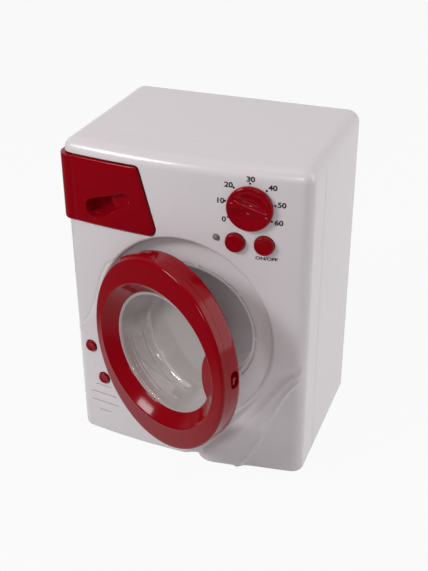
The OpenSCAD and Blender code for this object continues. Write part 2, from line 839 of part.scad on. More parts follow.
module board_screws() {
  color(steel) {
    for (p = board_posts) at(p[0], p[1]) screw(small_screw_r, board_y + board_t, board_y - 7, 2, 1.2);
    for (p = side_posts) at(p[0], p[1]) {
      screw(small_screw_r, side_board_y + board_t, side_board_y - 6, 2, 1.2);
    }
    for (p = guide_holes()) at(p[0], p[1]) {
      screw(small_screw_r, flange_front_y + guide_t, flange_front_y - 1.8, 2, 1.2);
    }
    on_front(knob_x, knob_z) for (s = [-1, 1]) at(s * timer_ear, 0) screw(small_screw_r, 9.5, 4.5, 2, 1.2);
  }
}

// Turns a part from the closed door's place to where the door rests
module hung() {
  translate([hinge_x, hinge_y, 0]) rotate([0, 0, -door_open]) translate([-hinge_x, -hinge_y, 0]) children();
}

module at_door() {
  translate([door_shift, 0, door_z]) children();
}

// Front cover of the ring, from the split to the crest, smaller all round by the inset
module cover_form(inset, y_back) {
  shoulder_y = door_edge_y + 1.2 + inset;
  along_y(shoulder_y, y_back) oval(door_rx - inset, door_rz - inset);
  hull() {
    along_y(shoulder_y - 0.01, shoulder_y) oval(door_rx - inset, door_rz - inset);
    along_y(door_edge_y - 0.2 + inset, door_edge_y + inset) {
      oval(door_rx - 1.5 - inset, door_rz - 1.5 - inset);
    }
    rod_y(crest_r + 1 - inset / 2, crest_y + inset, crest_y + inset + 0.1);
  }
}

// Repeats a child at each screw of the door ring
module ring_screw_places() {
  for (a = [45, 135, 225, 315]) rotate([0, -a, 0]) at(boss_ring_r, 0) children();
}

module ring_bosses(y0, y1, bore, bore_start) {
  ring_screw_places() difference() {
    rod_y(boss_r, y0, y1);
    rod_y(bore, bore_start, y1 + over);
  }
}

// Wedge seen from the front, for the lugs on the ring's outer wall
module wedge(a0, a1, r) {
  polygon([[0, 0], [r * cos(a0), r * sin(a0)], [r * cos((a0 + a1) / 2) * 1.2, r * sin((a0 + a1) / 2) * 1.2],
    [r * cos(a1), r * sin(a1)]]);
}

module door_front_ring() {
  lug = 1.8;
  grip_r = 35.6;
  grip_x = window_r - 9;
  color(red) hung() difference() {
    union() {
      at_door() {
        difference() {
          union() {
            cover_form(0, door_split_y);
            for (s = [-1, 1]) intersection() {
              along_y(door_edge_y + 2.5, door_split_y) oval(door_rx + lug, door_rz + lug);
              along_y(door_edge_y, door_split_y) wedge(s * 92, s * 123, 100);
            }
            cone_y(crest_r + ring_wall, window_r + ring_wall, crest_y, window_y);
          }
          difference() {
            cover_form(ring_wall, door_split_y + over);
            cone_y(crest_r + ring_wall, window_r + ring_wall, crest_y, window_y);
            rod_y(window_r + ring_wall, window_y - 0.01, window_y + 20);
          }
          cone_y(crest_r + 0.7, window_r - 0.7, crest_y - over, window_y + over);
        }
        intersection() {
          at(grip_x + grip_r, 0) rod_y(grip_r, window_y - 1.6, window_y);
          rod_y(window_r + 1, window_y - 1.6, window_y);
        }
        ring_bosses(boss_front_y, door_split_y, small_screw_r, boss_front_y + 2);
      }
    }
    translate([hinge_x, hinge_y, door_z]) {
      cylinder(r = knuckle_r + gap, h = 2 * ear_h + 3, center = true, $fn = round_fn);
    }
  }
}

module door_rear_ring() {
  color(red) hung() difference() {
    union() {
      at_door() {
        difference() {
          union() {
            difference() {
              along_y(door_split_y, door_back_y) oval(door_rx, door_rz);
              along_y(door_split_y - over, door_back_y - ring_wall) {
                oval(door_rx - ring_wall, door_rz - ring_wall);
              }
            }
            rod_y(seat_r + ring_wall, window_y + window_t, door_back_y);
          }
          rod_y(seat_r, window_y - over, door_back_y + over);
          at(door_rx, latch_z) rod_x(6.5, -4.5, 4);
        }
        ring_bosses(door_split_y, door_back_y - over, small_screw_r, door_split_y - over);
      }
      at(0, door_z) for (s = [-1, 1]) {
        translate([hinge_x, hinge_y, s * (3 * ear_h / 4 + gap)]) {
          cylinder(r = knuckle_r, h = ear_h / 2, center = true, $fn = round_fn);
        }
        block(hinge_x, hinge_x + knuckle_r + 1, hinge_y, hinge_y + 4,
          s * (3 * ear_h / 4 + gap) - ear_h / 4, s * (3 * ear_h / 4 + gap) + ear_h / 4);
      }
    }
    at_door() ring_screw_places() rod_y(small_screw_r + 0.1, door_split_y - over, door_back_y + over);
    at(0, door_z) {
      block(hinge_x - 6, hinge_x + knuckle_r + 0.7, hinge_y - 5, door_back_y + over,
        -ear_h / 2 - gap, ear_h / 2 + gap);
      translate([hinge_x, hinge_y, 0]) {
        cylinder(r = hinge_pin_r, h = 3 * ear_h, center = true, $fn = round_fn);
      }
    }
  }
}

// Arched notch in the outer wall, drawn along X
module rod_x(r, x0, x1) {
  translate([x0, door_back_y - 1.5, 0]) rotate([0, 90, 0]) cylinder(r = r, h = x1 - x0, $fn = round_fn);
}

module latch_nib() {
  color(red) hung() at_door() at(door_rx - ring_wall, latch_z) {
    block(-5, -2 * gap, door_back_y - 9, door_back_y - ring_wall, -2.5, 2.5);
    along_x(-5, 2.3) polygon([[door_back_y - 7.3, -2.5], [door_back_y - 7.3, 2.5], [door_back_y - 4.4, 2.5],
      [door_back_y - 5.9, -2.5]]);
  }
}

module door_window() {
  wall_top = window_r - 1;
  wall_low = window_r - 7;
  bottom_y = window_y + bowl_depth;
  bend = 7;
  color(clear_plastic) hung() at_door() {
    difference() {
      union() {
        rod_y(flange_r - 2.5, window_y, window_y + window_t);
        cone_y(wall_top, wall_low, window_y, bottom_y - bend);
        translate([0, bottom_y - bend, 0]) rotate([-90, 0, 0]) bowl_end(wall_low, bend);
      }
      cone_y(wall_top - window_t, wall_low - window_t, window_y - 0.01, bottom_y - bend);
      translate([0, bottom_y - bend - 0.01, 0]) rotate([-90, 0, 0]) {
        bowl_end(wall_low - window_t, bend - window_t);
      }
    }
  }
}

// Closed end of the bowl: a flat disc with a rounded rim
module bowl_end(r, h) {
  rotate_extrude($fn = round_fn) intersection() {
    union() {
      translate([r - h, 0]) circle(r = h, $fn = round_fn);
      translate([0, 0]) square([r - h, h]);
    }
    square([r, h]);
  }
}

module door_screws() {
  color(steel) hung() at_door() ring_screw_places() {
    screw(small_screw_r, door_back_y, boss_front_y + 2.6, 1.9, 1);
  }
}

module hinge_pin() {
  color(steel) hung() translate([hinge_x, hinge_y, door_z]) {
    cylinder(r = hinge_pin_r, h = 2 * ear_h + 2 * gap, center = true, $fn = round_fn);
  }
}

module drum() {
  hole_rows = 5;
  holes_round = 20;
  color("#e8e6e6") at(0, door_z) difference() {
    rod_y(drum_r, drum_front_y, drum_back_y);
    rod_y(drum_r - drum_t, drum_front_y + 2, drum_back_y + over);
    rod_y(mouth_r, drum_front_y - over, drum_back_y);
    for (i = [0 : hole_rows - 1]) for (j = [0 : holes_round - 1]) {
      rotate([0, (j + (i % 2) / 2) * 360 / holes_round, 0]) {
        translate([0, drum_front_y + 10 + i * (drum_len - 20) / (hole_rows - 1), drum_r - 3]) {
          cylinder(r = 1.6, h = 5, $fn = 24);
        }
      }
    }
  }
}

module drum_back() {
  color("#e8e6e6") at(0, door_z) difference() {
    union() {
      rod_y(drum_r - drum_t - run, drum_back_y - 2, drum_back_y);
      rod_y(7, drum_back_y - over, plate_front_y - 3);
    }
    rod_y(shaft_r, drum_back_y - 6, plate_front_y);
  }
}

module drum_lifters() {
  foot_r = drum_r - drum_t - run;
  color("#e8e6e6") at(0, door_z) for (a = [30, 150, 270]) rotate([0, -a, 0]) intersection() {
    rod_y(foot_r, drum_front_y + 6, drum_back_y - 4);
    at(foot_r, 0) along_y(drum_front_y + 6, drum_back_y - 4) {
      polygon([[0.5, -7], [0.5, 7], [-lifter_h, 2], [-lifter_h, -2]]);
    }
  }
}

module drum_shaft() {
  color(steel) at(0, door_z) {
    rod_y(shaft_r, drum_back_y - 3.5, plate_rear_y + plate_t + 2);
    rod_y(shaft_r + 2, drum_back_y - 5, drum_back_y - 2);
  }
}

// Involute gear outline, seen along its axis
function involute(a) = tan(a) - a * PI / 180;

function flank_angle(rho, r, teeth, play) =
  (PI / (2 * teeth) - play / (2 * r) + involute(20) - involute(acos(min(1, r * cos(20) / rho)))) * 180 / PI;

module gear_outline(teeth, m, play) {
  r = m * teeth / 2;
  tip = r + 0.85 * m;
  root = r - 1.2 * m;
  base = max(r * cos(20), root + 0.01);
  rings = 4;
  radii = [for (k = [0 : rings]) base + (tip - base) * k / rings];
  polygon([for (i = [0 : teeth - 1]) each concat(
    [let (a = 360 * i / teeth - flank_angle(base, r, teeth, play)) [root * cos(a), root * sin(a)]],
    [for (q = radii) let (a = 360 * i / teeth - flank_angle(q, r, teeth, play)) [q * cos(a), q * sin(a)]],
    [for (k = [rings : -1 : 0]) let (q = radii[k], a = 360 * i / teeth + flank_angle(q, r, teeth, play))
      [q * cos(a), q * sin(a)]],
    [let (a = 360 * i / teeth + flank_angle(base, r, teeth, play)) [root * cos(a), root * sin(a)]]
  )]);
}

module drum_gear() {
  play = 0.24;
  color("#d9d7cf") at(0, door_z) difference() {
    union() {
      along_y(slow_y, slow_y + slow_face) rotate(idler_angle) gear_outline(drum_teeth, slow_module, play);
      rod_y(6.5, slow_y, plate_rear_y - 0.4);
    }
    rod_y(shaft_r, slow_y - over, plate_rear_y);
  }
}

module idler_gear() {
  play = 0.24;
  mesh_turn = idler_angle + 180 + 180 / idler_small_teeth;
  color("#c9c4b4") at(idler_x, idler_z) difference() {
    union() {
      along_y(slow_y, fast_y) rotate(mesh_turn) gear_outline(idler_small_teeth, slow_module, play);
      along_y(fast_y, fast_y + fast_face) rotate(90) gear_outline(idler_large_teeth, fast_module, play);
      rod_y(3.5, fast_y, plate_rear_y - 0.4);
    }
    rod_y(idler_pin_r + run, slow_y - over, plate_rear_y);
  }
}

module motor_pinion() {
  play = 0.24;
  color("#c9a24a") at(motor_x, motor_z) difference() {
    along_y(fast_y, fast_y + fast_face) rotate(-90 + 180 / pinion_teeth) {
      gear_outline(pinion_teeth, fast_module, play);
    }
    rod_y(motor_shaft_r, fast_y - over, fast_y + fast_face + over);
  }
}

// Finger pocket of the drawer: a deep round end and a ramp that rises to the right
module pocket(grow) {
  deep = 9;
  at(pocket_x, pocket_z) rod_y(8 + grow, -half_d - 10, front_y(pocket_x) + deep + grow);
  at(pocket_x, pocket_z + 2.5) rotate([0, -10, 0]) hull() {
    block(0, 1, front_y(pocket_x) - 4, front_y(pocket_x) + deep + grow, -7 - grow, 6 + grow);
    block(26 + grow, 27 + grow, front_y(pocket_x) - 8, front_y(pocket_x) - 3 + grow, -4 - grow, 6 + grow);
  }
}

module drawer_front() {
  wrap_y = drawer_wrap - half_d + front_bulge;
  tray_link_y = tray_front_y;
  color(red) difference() {
    union() {
      intersection() {
        difference() {
          casing_form(-drawer_proud);
          casing_form(drawer_skin - drawer_proud);
        }
        along_y(-half_d - 20, wrap_y) drawer_outline(0);
      }
      intersection() {
        casing_form(0);
        block(tray_left + 1, tray_right - 1, -half_d, tray_link_y, tray_bottom + 1, tray_top - 1);
      }
    }
    pocket(0);
    difference() {
      intersection() {
        casing_form(drawer_skin - drawer_proud);
        block(tray_left + 3, tray_right - 3, -half_d, tray_link_y + over, tray_bottom + 3, tray_top - 3);
      }
      pocket(2);
    }
  }
}

module drawer_tray() {
  divider_x = tray_left + (tray_right - tray_left) * 0.55;
  color(white) difference() {
    block(tray_left, tray_right, tray_front_y, tray_back_y, tray_bottom, tray_top);
    for (s = [[tray_left + tray_t, divider_x - tray_t / 2], [divider_x + tray_t / 2, tray_right - tray_t]]) {
      block(s[0], s[1], tray_front_y + tray_t, tray_back_y - tray_t, tray_bottom + tray_t, tray_top + over);
    }
  }
}

module timer_knob() {
  ridge = 2;
  seat = 0.7;
  color(red) on_front(knob_x, knob_z) rotate([0, -knob_rest, 0]) difference() {
    union() {
      rod_y(knob_r, -knob_h + 1, -seat);
      cone_y(knob_r - 0.8, knob_r, -knob_h, -knob_h + 1);
    }
    for (s = [-1, 1]) intersection() {
      translate([0, -knob_h - 13.8, s * (ridge + 10)]) sphere(r = 16.5, $fn = 128);
      block(-knob_r, knob_r, -knob_h - over, 0, min(s * ridge, s * 40), max(s * ridge, s * 40));
      rod_y(knob_r - 1.2, -knob_h - over, -seat - 0.6);
    }
    rod_y(3, -seat - 2, 0);
  }
}

module timer_spindle() {
  color(white) on_front(knob_x, knob_z) rod_y(3, -2.7, wall + 8);
}

// A push button: cap with a rounded edge, flange behind the panel and stem to the switch
module push_button(x, z, cap_r, proud, travel, y_board) {
  flange_r = cap_r + 1.3;
  stem_r = min(2.4, cap_r / 2);
  edge = 1.1;
  top_y = front_y(x) - proud;
  flange_y = front_y(abs(x) + flange_r) + wall + gap;
  stem_y = y_board - switch_h - nub_h - travel - 0.2;
  color(red) at(x, z) turned(concat(
    [[0, top_y]],
    [for (a = [90 : -15 : 0]) [cap_r - edge + edge * cos(a), top_y + edge - edge * sin(a)]],
    [[cap_r, flange_y], [flange_r, flange_y], [flange_r, flange_y + button_flange],
      [stem_r, flange_y + button_flange], [stem_r, stem_y], [0, stem_y]]
  ));
}

module start_button() {
  push_button(start_x, button_z, button_r, button_proud, button_travel, board_y);
}

module power_button() {
  push_button(power_x, button_z, button_r, button_proud, button_travel, board_y);
}

module upper_button() {
  push_button(upper_x, upper_z, low_button_r, low_button_proud, low_button_travel, side_board_y);
}

module lower_button() {
  push_button(lower_x, lower_z, low_button_r, low_button_proud, low_button_travel, side_board_y);
}

// Wire coil along Y, as one closed tube
module coil(r, wire_r, y0, y1, turns) {
  around = 14;
  sides = 8;
  rings = turns * around;
  pitch = (y1 - y0 - 2 * wire_r) / turns;
  function ring_point(i, j) =
    let (a = 360 * i / around, b = 360 * j / sides, q = r + wire_r * cos(b))
    [q * cos(a), y0 + wire_r + pitch * i / around + wire_r * sin(b), q * sin(a)];
  points = [for (i = [0 : rings]) for (j = [0 : sides - 1]) ring_point(i, j)];
  side_faces = [for (i = [0 : rings - 1]) for (j = [0 : sides - 1])
    [i * sides + j, i * sides + (j + 1) % sides, (i + 1) * sides + (j + 1) % sides, (i + 1) * sides + j]];
  start_face = [for (j = [sides - 1 : -1 : 0]) j];
  end_face = [for (j = [0 : sides - 1]) rings * sides + j];
  polyhedron(points, concat([start_face], side_faces, [end_face]));
}

module button_spring(x, z, cap_r, y_board, coil_r) {
  flange_y = front_y(abs(x) + cap_r + 1.3) + wall + gap + button_flange;
  color(steel) at(x, z) coil(coil_r, 0.3, flange_y + 0.1, y_board - 0.1, 4);
}

module start_spring() {
  button_spring(start_x, button_z, button_r, board_y, 5.4);
}

module power_spring() {
  button_spring(power_x, button_z, button_r, board_y, 5.4);
}

module upper_spring() {
  button_spring(upper_x, upper_z, low_button_r, side_board_y, 4);
}

module lower_spring() {
  button_spring(lower_x, lower_z, low_button_r, side_board_y, 4);
}

module battery_cover() {
  color(white) difference() {
    block(-cover_half_w + cover_gap, cover_half_w - cover_gap, inner_back_y, half_d, cover_z + cover_gap,
      cover_top - cover_gap);
    at(0, cover_screw_z) {
      rod_y(small_screw_r + 0.3, inner_back_y - over, half_d);
      rod_y(2.6, half_d - 1.2, half_d + over);
    }
    for (i = [0 : 4]) block(-12, 12, half_d - 0.6, half_d + over, cover_z + 8 + i * 3, cover_z + 9.2 + i * 3);
  }
}

module battery_cover_screw() {
  color(steel) at(0, cover_screw_z) screw(small_screw_r + 0.3, half_d - 1.2, inner_back_y - 9, 2.4, 1);
}

front_shell();
rear_shell();
drawer_guide();
gear_plate_front();
gear_plate_rear();
drum_bush();
idler_pin();
motor();
circuit_board();
board_switches();
timer_unit();
lamp();
speaker();
side_board();
battery_contacts();
battery_cells();
shell_screws();
gearbox_screws();
board_screws();
door_front_ring();
door_rear_ring();
door_window();
latch_nib();
door_screws();
hinge_pin();
drum();
drum_back();
drum_lifters();
drum_shaft();
drum_gear();
idler_gear();
motor_pinion();
motor_shaft();
drawer_front();
drawer_tray();
timer_knob();
timer_spindle();
start_button();
power_button();
upper_button();
lower_button();
start_spring();
power_spring();
upper_spring();
lower_spring();
battery_cover();
battery_cover_screw();
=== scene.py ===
"""Looks of the toy washing machine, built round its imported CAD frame.

Sizes are in millimetres until they are placed.
"""

import math

import bmesh
import bpy
import numpy as np
from mathutils import Matrix, Vector
from mathutils.geometry import delaunay_2d_cdt


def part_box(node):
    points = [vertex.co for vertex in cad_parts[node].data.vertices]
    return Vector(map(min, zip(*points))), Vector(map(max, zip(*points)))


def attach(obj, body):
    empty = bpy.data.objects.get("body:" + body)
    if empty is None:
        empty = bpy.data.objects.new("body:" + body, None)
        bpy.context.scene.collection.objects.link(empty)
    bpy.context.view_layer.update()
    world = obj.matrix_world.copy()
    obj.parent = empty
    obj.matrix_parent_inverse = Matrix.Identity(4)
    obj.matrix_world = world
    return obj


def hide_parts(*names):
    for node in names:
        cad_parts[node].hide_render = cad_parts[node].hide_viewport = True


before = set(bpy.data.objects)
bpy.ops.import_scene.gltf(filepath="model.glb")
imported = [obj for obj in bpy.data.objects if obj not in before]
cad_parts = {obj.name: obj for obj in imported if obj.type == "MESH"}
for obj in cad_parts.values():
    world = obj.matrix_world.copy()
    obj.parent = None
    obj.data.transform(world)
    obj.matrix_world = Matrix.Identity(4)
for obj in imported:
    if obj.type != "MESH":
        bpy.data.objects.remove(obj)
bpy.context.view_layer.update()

MM = 0.001

# Casing, as in the CAD
HALF_W = 89.0
HALF_D = 68.25
HEIGHT = 240.0
BULGE = 8.1
EDGE_R = 9.0
BASE_R = 2.5
WALL = 2.2
SEAM_Y = 38.5 - HALF_D
SEAM_LIP = 0.22
FRONT_R = (HALF_W**2 + BULGE**2) / (2 * BULGE)
FRONT_AXIS_Y = FRONT_R - HALF_D
CORNER_X = HALF_W - EDGE_R
CORNER_Y = FRONT_AXIS_Y - math.sqrt((FRONT_R - EDGE_R) ** 2 - CORNER_X**2)
FRONT_TURN = math.asin(CORNER_X / (FRONT_R - EDGE_R))

# Door recess and drum
DOOR_Z = 107.5
RECESS_RX = 65.2
RECESS_RZ = 74.2
RECESS_FLOOR_Y = 10.5 - HALF_D
COLLAR_R = 49.0
COLLAR_END_Y = RECESS_FLOOR_Y + 8.8
SLOT_R = 52.1
SLOT_W = 1.3
SLOT_COUNT = 9
SLOT_DEPTH = 1.2

# Door, closed, then turned to where it rests
DOOR_X = 2.1
DOOR_RX = 62.5
DOOR_RZ = 73.0
DOOR_BACK_Y = RECESS_FLOOR_Y - 3.6
RING_DEPTH = 16.8
SPLIT_DEPTH = 10.0
CREST_DEPTH = 17.8
CREST_R = 53.7
WINDOW_R = 45.3
WINDOW_DEPTH = 9.6
SEAT_R = 46.9
BOWL_DEPTH = 25.0
HINGE = (DOOR_X - DOOR_RX - 0.7, DOOR_BACK_Y - SPLIT_DEPTH + 0.1)
DOOR_OPEN = 22.6
LUG = 1.8
LUG_ANGLES = (107.5, 252.5)
LUG_SPREAD = 14.3
LUG_FROM_FACE = 2.2
GRIP_R = 35.6
GRIP_REACH = 9.0
GRIP_THICK = 1.6
LATCH_Z = 4.7

# Detergent drawer
DRAWER_TOP = HEIGHT - 10.2
DRAWER_BOTTOM = DRAWER_TOP - 48.5
DRAWER_TOP_X = 59.5 - HALF_W
DRAWER_LOW_X = 73.0 - HALF_W
DRAWER_PROUD = 1.5
DRAWER_WRAP_Y = 22.0 - HALF_D + BULGE
DRAWER_GAP = 0.95
DRAWER_SIDE_SWELL = 1.9
SCOOP_DEEP_AT, SCOOP_SHALLOW_AT = (-63.4, 193.6), (-39.6, 205.2)
SCOOP_R, SCOOP_TAPER = 7.6, 2.9
SCOOP_SHALLOW, SCOOP_DROP = 3.4, 7.4
SCOOP_SIDES, SCOOP_HEIGHTS = (-74, -32), (183, 213)

# Controls
KNOB_X, KNOB_Z = HALF_W - 40, HEIGHT - 28
KNOB_R = 15.6
KNOB_H = 4.0
KNOB_REST = -19.0
BUTTON_Z = HEIGHT - 53.6
START_X, POWER_X, LAMP_X = HALF_W - 49.7, HALF_W - 30.2, HALF_W - 62.7
LAMP_Z = BUTTON_Z + 1.7
BUTTON_R = 6.7
LAMP_R = 2.3
UPPER_AT = (12.9 - HALF_W, 77.2)
LOWER_AT = (22.7 - HALF_W, 51.2)
LOW_BUTTON_R = 4.5
SPEAKER_X, SPEAKER_Z = 21.5 - HALF_W, 28.0
SOUND_SLOTS = ((15.2, 14.0), (7.4, 22.0), (-0.4, 24.0), (-8.3, 10.0))
SOUND_SLOT_W = 1.0

# Battery cover on the back
COVER_HALF_W = 31.0
COVER_LOW, COVER_HIGH = 16.0, 73.5
SCREW_X = HALF_W - 19
SCREW_ZS = (9.0, HEIGHT - 13)


# Geometry helpers


def smooth_step(t):
    """0 below 0, 1 above 1 and a soft S between."""
    t = np.clip(t, 0.0, 1.0)
    return t * t * (3 - 2 * t)


def front_y(x):
    """The bulged front's depth at x."""
    return FRONT_AXIS_Y - np.sqrt(FRONT_R**2 - np.asarray(x, float) ** 2)


def arc(x, z, r, start, end, steps):
    """Points along an arc, angles in degrees."""
    a = np.radians(np.linspace(start, end, steps + 1))
    return np.stack([x + r * np.cos(a), z + r * np.sin(a)], 1)


def oval(rx, rz, steps, x=0.0, z=0.0):
    a = np.linspace(0, 2 * math.pi, steps, endpoint=False)
    return np.stack([x + rx * np.cos(a), z + rz * np.sin(a)], 1)


def rounded_box(x0, x1, z0, z1, r, steps):
    """Outline of a rectangle with round corners."""
    corners = ((x1 - r, z0 + r), (x1 - r, z1 - r), (x0 + r, z1 - r), (x0 + r, z0 + r))
    return np.concatenate([arc(x, z, r, 90 * k - 90, 90 * k, steps) for k, (x, z) in enumerate(corners)])


def shrunk(loop, middle, by):
    """The outline with each point moved towards the middle by a length."""
    toward = middle - loop
    return loop + toward / np.hypot(*toward.T)[:, None] * by


def at_depth(loop, y):
    """An (x, z) outline placed at the depth y."""
    return np.column_stack([loop[:, 0], np.full(len(loop), y), loop[:, 1]])


def resample(points, spacing, closed=True):
    """The same polyline with points no further apart than the spacing."""
    out = []
    count = len(points)
    for i in range(count if closed else count - 1):
        a, b = points[i], points[(i + 1) % count]
        steps = max(1, math.ceil(np.hypot(*(b - a)) / spacing))
        out += [a + (b - a) * k / steps for k in range(steps)]
    if not closed:
        out.append(points[-1])
    return np.array(out)


def distance_to(points, line, closed=True):
    """Shortest distance from each point to a polyline."""
    a = np.asarray(line, float)
    b = np.roll(a, -1, 0) if closed else a[1:]
    a = a if closed else a[:-1]
    best = np.full(len(points), 1e9)
    for p, q in zip(a, b):
        d = q - p
        t = np.clip(((points - p) @ d) / max(d @ d, 1e-12), 0, 1)
        best = np.minimum(best, np.hypot(*(points - p - t[:, None] * d).T))
    return best


def inside(points, loop):
    """True for each point within a closed loop."""
    x, z = points.T
    result = np.zeros(len(points), bool)
    for (x0, z0), (x1, z1) in zip(loop, np.roll(loop, -1, 0)):
        if z0 == z1:
            continue
        crossing = (z0 > z) != (z1 > z)
        result ^= crossing & (x < (x1 - x0) * (z - z0) / (z1 - z0) + x0)
    return result


class Track:
    """A plan line of straight and arc stretches, walked by its length, with its outward side on the right."""

    def __init__(self, stretches, zero):
        self.stretches = stretches
        self.lengths = [self.length(s) for s in stretches]
        self.starts = np.concatenate([[0], np.cumsum(self.lengths)]) - zero
        self.low, self.high = self.starts[0], self.starts[-1]

    @staticmethod
    def length(s):
        if s[0] == "line":
            return math.dist(s[1], s[2])
        return s[2] * abs(s[4] - s[3])

    def walk(self, s):
        """Plan points and outward normals at the lengths s."""
        s = np.asarray(s, float)
        at = np.zeros((len(s), 2))
        out = np.zeros((len(s), 2))
        for stretch, start, length in zip(self.stretches, self.starts, self.lengths):
            here = (s >= start - 1e-9) & (s <= start + length + 1e-9)
            t = (s[here] - start) / length
            if stretch[0] == "line":
                p, q = np.array(stretch[1]), np.array(stretch[2])
                d = (q - p) / length
                at[here] = p + np.outer(t * length, d)
                out[here] = (d[1], -d[0])
            else:
                _, centre, r, a0, a1 = stretch
                a = a0 + (a1 - a0) * t
                out[here] = np.stack([np.cos(a), np.sin(a)], 1)
                at[here] = np.array(centre) + r * out[here]
        return at, out


class Skin:
    """Points and faces that grow into one object."""

    def __init__(self):
        self.points = []
        self.faces = []

    def add(self, points):
        first = len(self.points)
        self.points += [tuple(p) for p in points]
        return list(range(first, len(self.points)))

    def strip(self, a, b, closed=False):
        """Faces between two rows with as many points each."""
        n = len(a)
        for i in range(n if closed else n - 1):
            j = (i + 1) % n
            self.faces.append((a[i], a[j], b[j], b[i]))

    def rows(self, rows, closed=False):
        added = [self.add(r) for r in rows]
        for a, b in zip(added, added[1:]):
            self.strip(a, b, closed)
        return added

    def face(self, row):
        self.faces.append(tuple(row))

    def capped(self, rows):
        """A closed solid of loops, with a face over each end."""
        added = self.rows(rows, closed=True)
        self.face(added[0])
        self.face(added[-1])

    def mesh(self, name, weld):
        """The points and faces as a mesh, with doubles merged and all faces pointing outwards."""
        mesh = bpy.data.meshes.new(name)
        mesh.from_pydata([tuple(c * MM for c in p) for p in self.points], [], self.faces)
        bm = bmesh.new()
        bm.from_mesh(mesh)
        bmesh.ops.remove_doubles(bm, verts=bm.verts, dist=weld * MM)
        bmesh.ops.recalc_face_normals(bm, faces=bm.faces)
        bm.to_mesh(mesh)
        bm.free()
        return mesh

    def build(self, name, material, body, sharp=35.0, weld=0.005):
        return finish_piece(name, self.mesh(name, weld), material, body, sharp)


def finish_piece(name, mesh, material, body, sharp=35.0):
    """Puts a mesh in the scene with soft shading, crisp where faces meet at more than the angle."""
    soften(mesh, sharp)
    obj = bpy.data.objects.new(name, mesh)
    bpy.context.scene.collection.objects.link(obj)
    mesh.materials.clear()
    mesh.materials.append(material)
    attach(obj, body)
    return obj


def soften(mesh, sharp):
    bm = bmesh.new()
    bm.from_mesh(mesh)
    limit = math.radians(sharp)
    for face in bm.faces:
        face.smooth = True
    for edge in bm.edges:
        edge.smooth = len(edge.link_faces) == 2 and edge.calc_face_angle(0) < limit
    bm.to_mesh(mesh)
    bm.free()


def weigh_normals(obj):
    """Lets large flat faces keep their flat shading beside small rounded ones."""
    modifier = obj.modifiers.new("weighted", "WEIGHTED_NORMAL")
    modifier.keep_sharp = True
    modifier.weight = 80


def triangulate(outer, holes, fill, clearance=0.35):
    """Triangles between an outer loop and its holes, with fill points that lie clear of both.

    Returns the points, the triangles and, for each loop, the indices of its points.
    """
    loops = [np.asarray(outer)] + [np.asarray(h) for h in holes]
    keep = inside(fill, loops[0])
    for hole in loops[1:]:
        keep &= ~inside(fill, hole)
    fill = fill[keep]
    for loop in loops:
        fill = fill[distance_to(fill, loop) > clearance]
    points = np.concatenate(loops + [fill])
    edges = []
    first = 0
    for loop in loops:
        n = len(loop)
        edges += [(first + i, first + (i + 1) % n) for i in range(n)]
        first += n
    found = delaunay_2d_cdt([Vector(p) for p in points], edges, [], 0, 1e-6)
    flat = np.array([tuple(v) for v in found[0]])
    new_index = {}
    for i, originals in enumerate(found[3]):
        for o in originals:
            new_index[o] = i
    triangles = np.array([f for f in found[2] if len(f) == 3])
    middles = flat[triangles].mean(1)
    keep = inside(middles, loops[0])
    for hole in loops[1:]:
        keep &= ~inside(middles, hole)
    rows = []
    first = 0
    for loop in loops:
        rows.append([new_index[first + i] for i in range(len(loop))])
        first += len(loop)
    return flat, triangles[keep], rows


def turned(name, profile, place, material, body, segments=96, sharp=35.0):
    """A piece turned about its own axis from (radius, height) points, then placed by a matrix."""
    skin = Skin()
    angles = np.linspace(0, 2 * math.pi, segments, endpoint=False)
    rows = []
    for radius, height in profile:
        if radius < 1e-6:
            rows.append([(0.0, 0.0, height)] * segments)
        else:
            rows.append([(radius * math.cos(a), radius * math.sin(a), height) for a in angles])
    rows = [[tuple(place @ Vector(p)) for p in row] for row in rows]
    skin.rows(rows, closed=True)
    return skin.build(name, material, body, sharp, weld=0.0005)


def rounded(corners, radius, steps=6):
    """A (radius, height) outline with each inner corner rounded by an arc."""
    out = [corners[0]]
    for before, corner, after in zip(corners, corners[1:], corners[2:]):
        p, c, q = (Vector(v) for v in (before, corner, after))
        a, b = (p - c), (q - c)
        cut = min(radius, a.length * 0.49, b.length * 0.49)
        start, end = c + a.normalized() * cut, c + b.normalized() * cut
        for k in range(steps + 1):
            t = k / steps
            out.append(tuple(start * (1 - t) ** 2 + c * 2 * t * (1 - t) + end * t * t))
    out.append(corners[-1])
    return out


def on_front(x, z):
    """Matrix in millimetres that puts +Z outward, square to the front, and +X to the viewer's right."""
    tilt = math.asin(x / FRONT_R)
    out = Vector((math.sin(tilt), -math.cos(tilt), 0))
    right = Vector((math.cos(tilt), math.sin(tilt), 0))
    up = Vector((0, 0, 1))
    matrix = Matrix((right, up, out)).transposed().to_4x4()
    matrix.translation = Vector((x, float(front_y(x)), z))
    return matrix


# Materials

RIPPLE_SIZE = 18.0


def add_node(nodes, kind, values=None, **settings):
    """A node with its settings, and with values on its own sockets."""
    node = nodes.new(kind)
    for name, value in settings.items():
        setattr(node, name, value)
    for socket, value in (values or {}).items():
        node.inputs[socket].default_value = value
    return node


def new_material(name):
    """A node material, with its nodes and its links."""
    material = bpy.data.materials.new(name)
    material.use_nodes = True
    return material, material.node_tree.nodes, material.node_tree.links


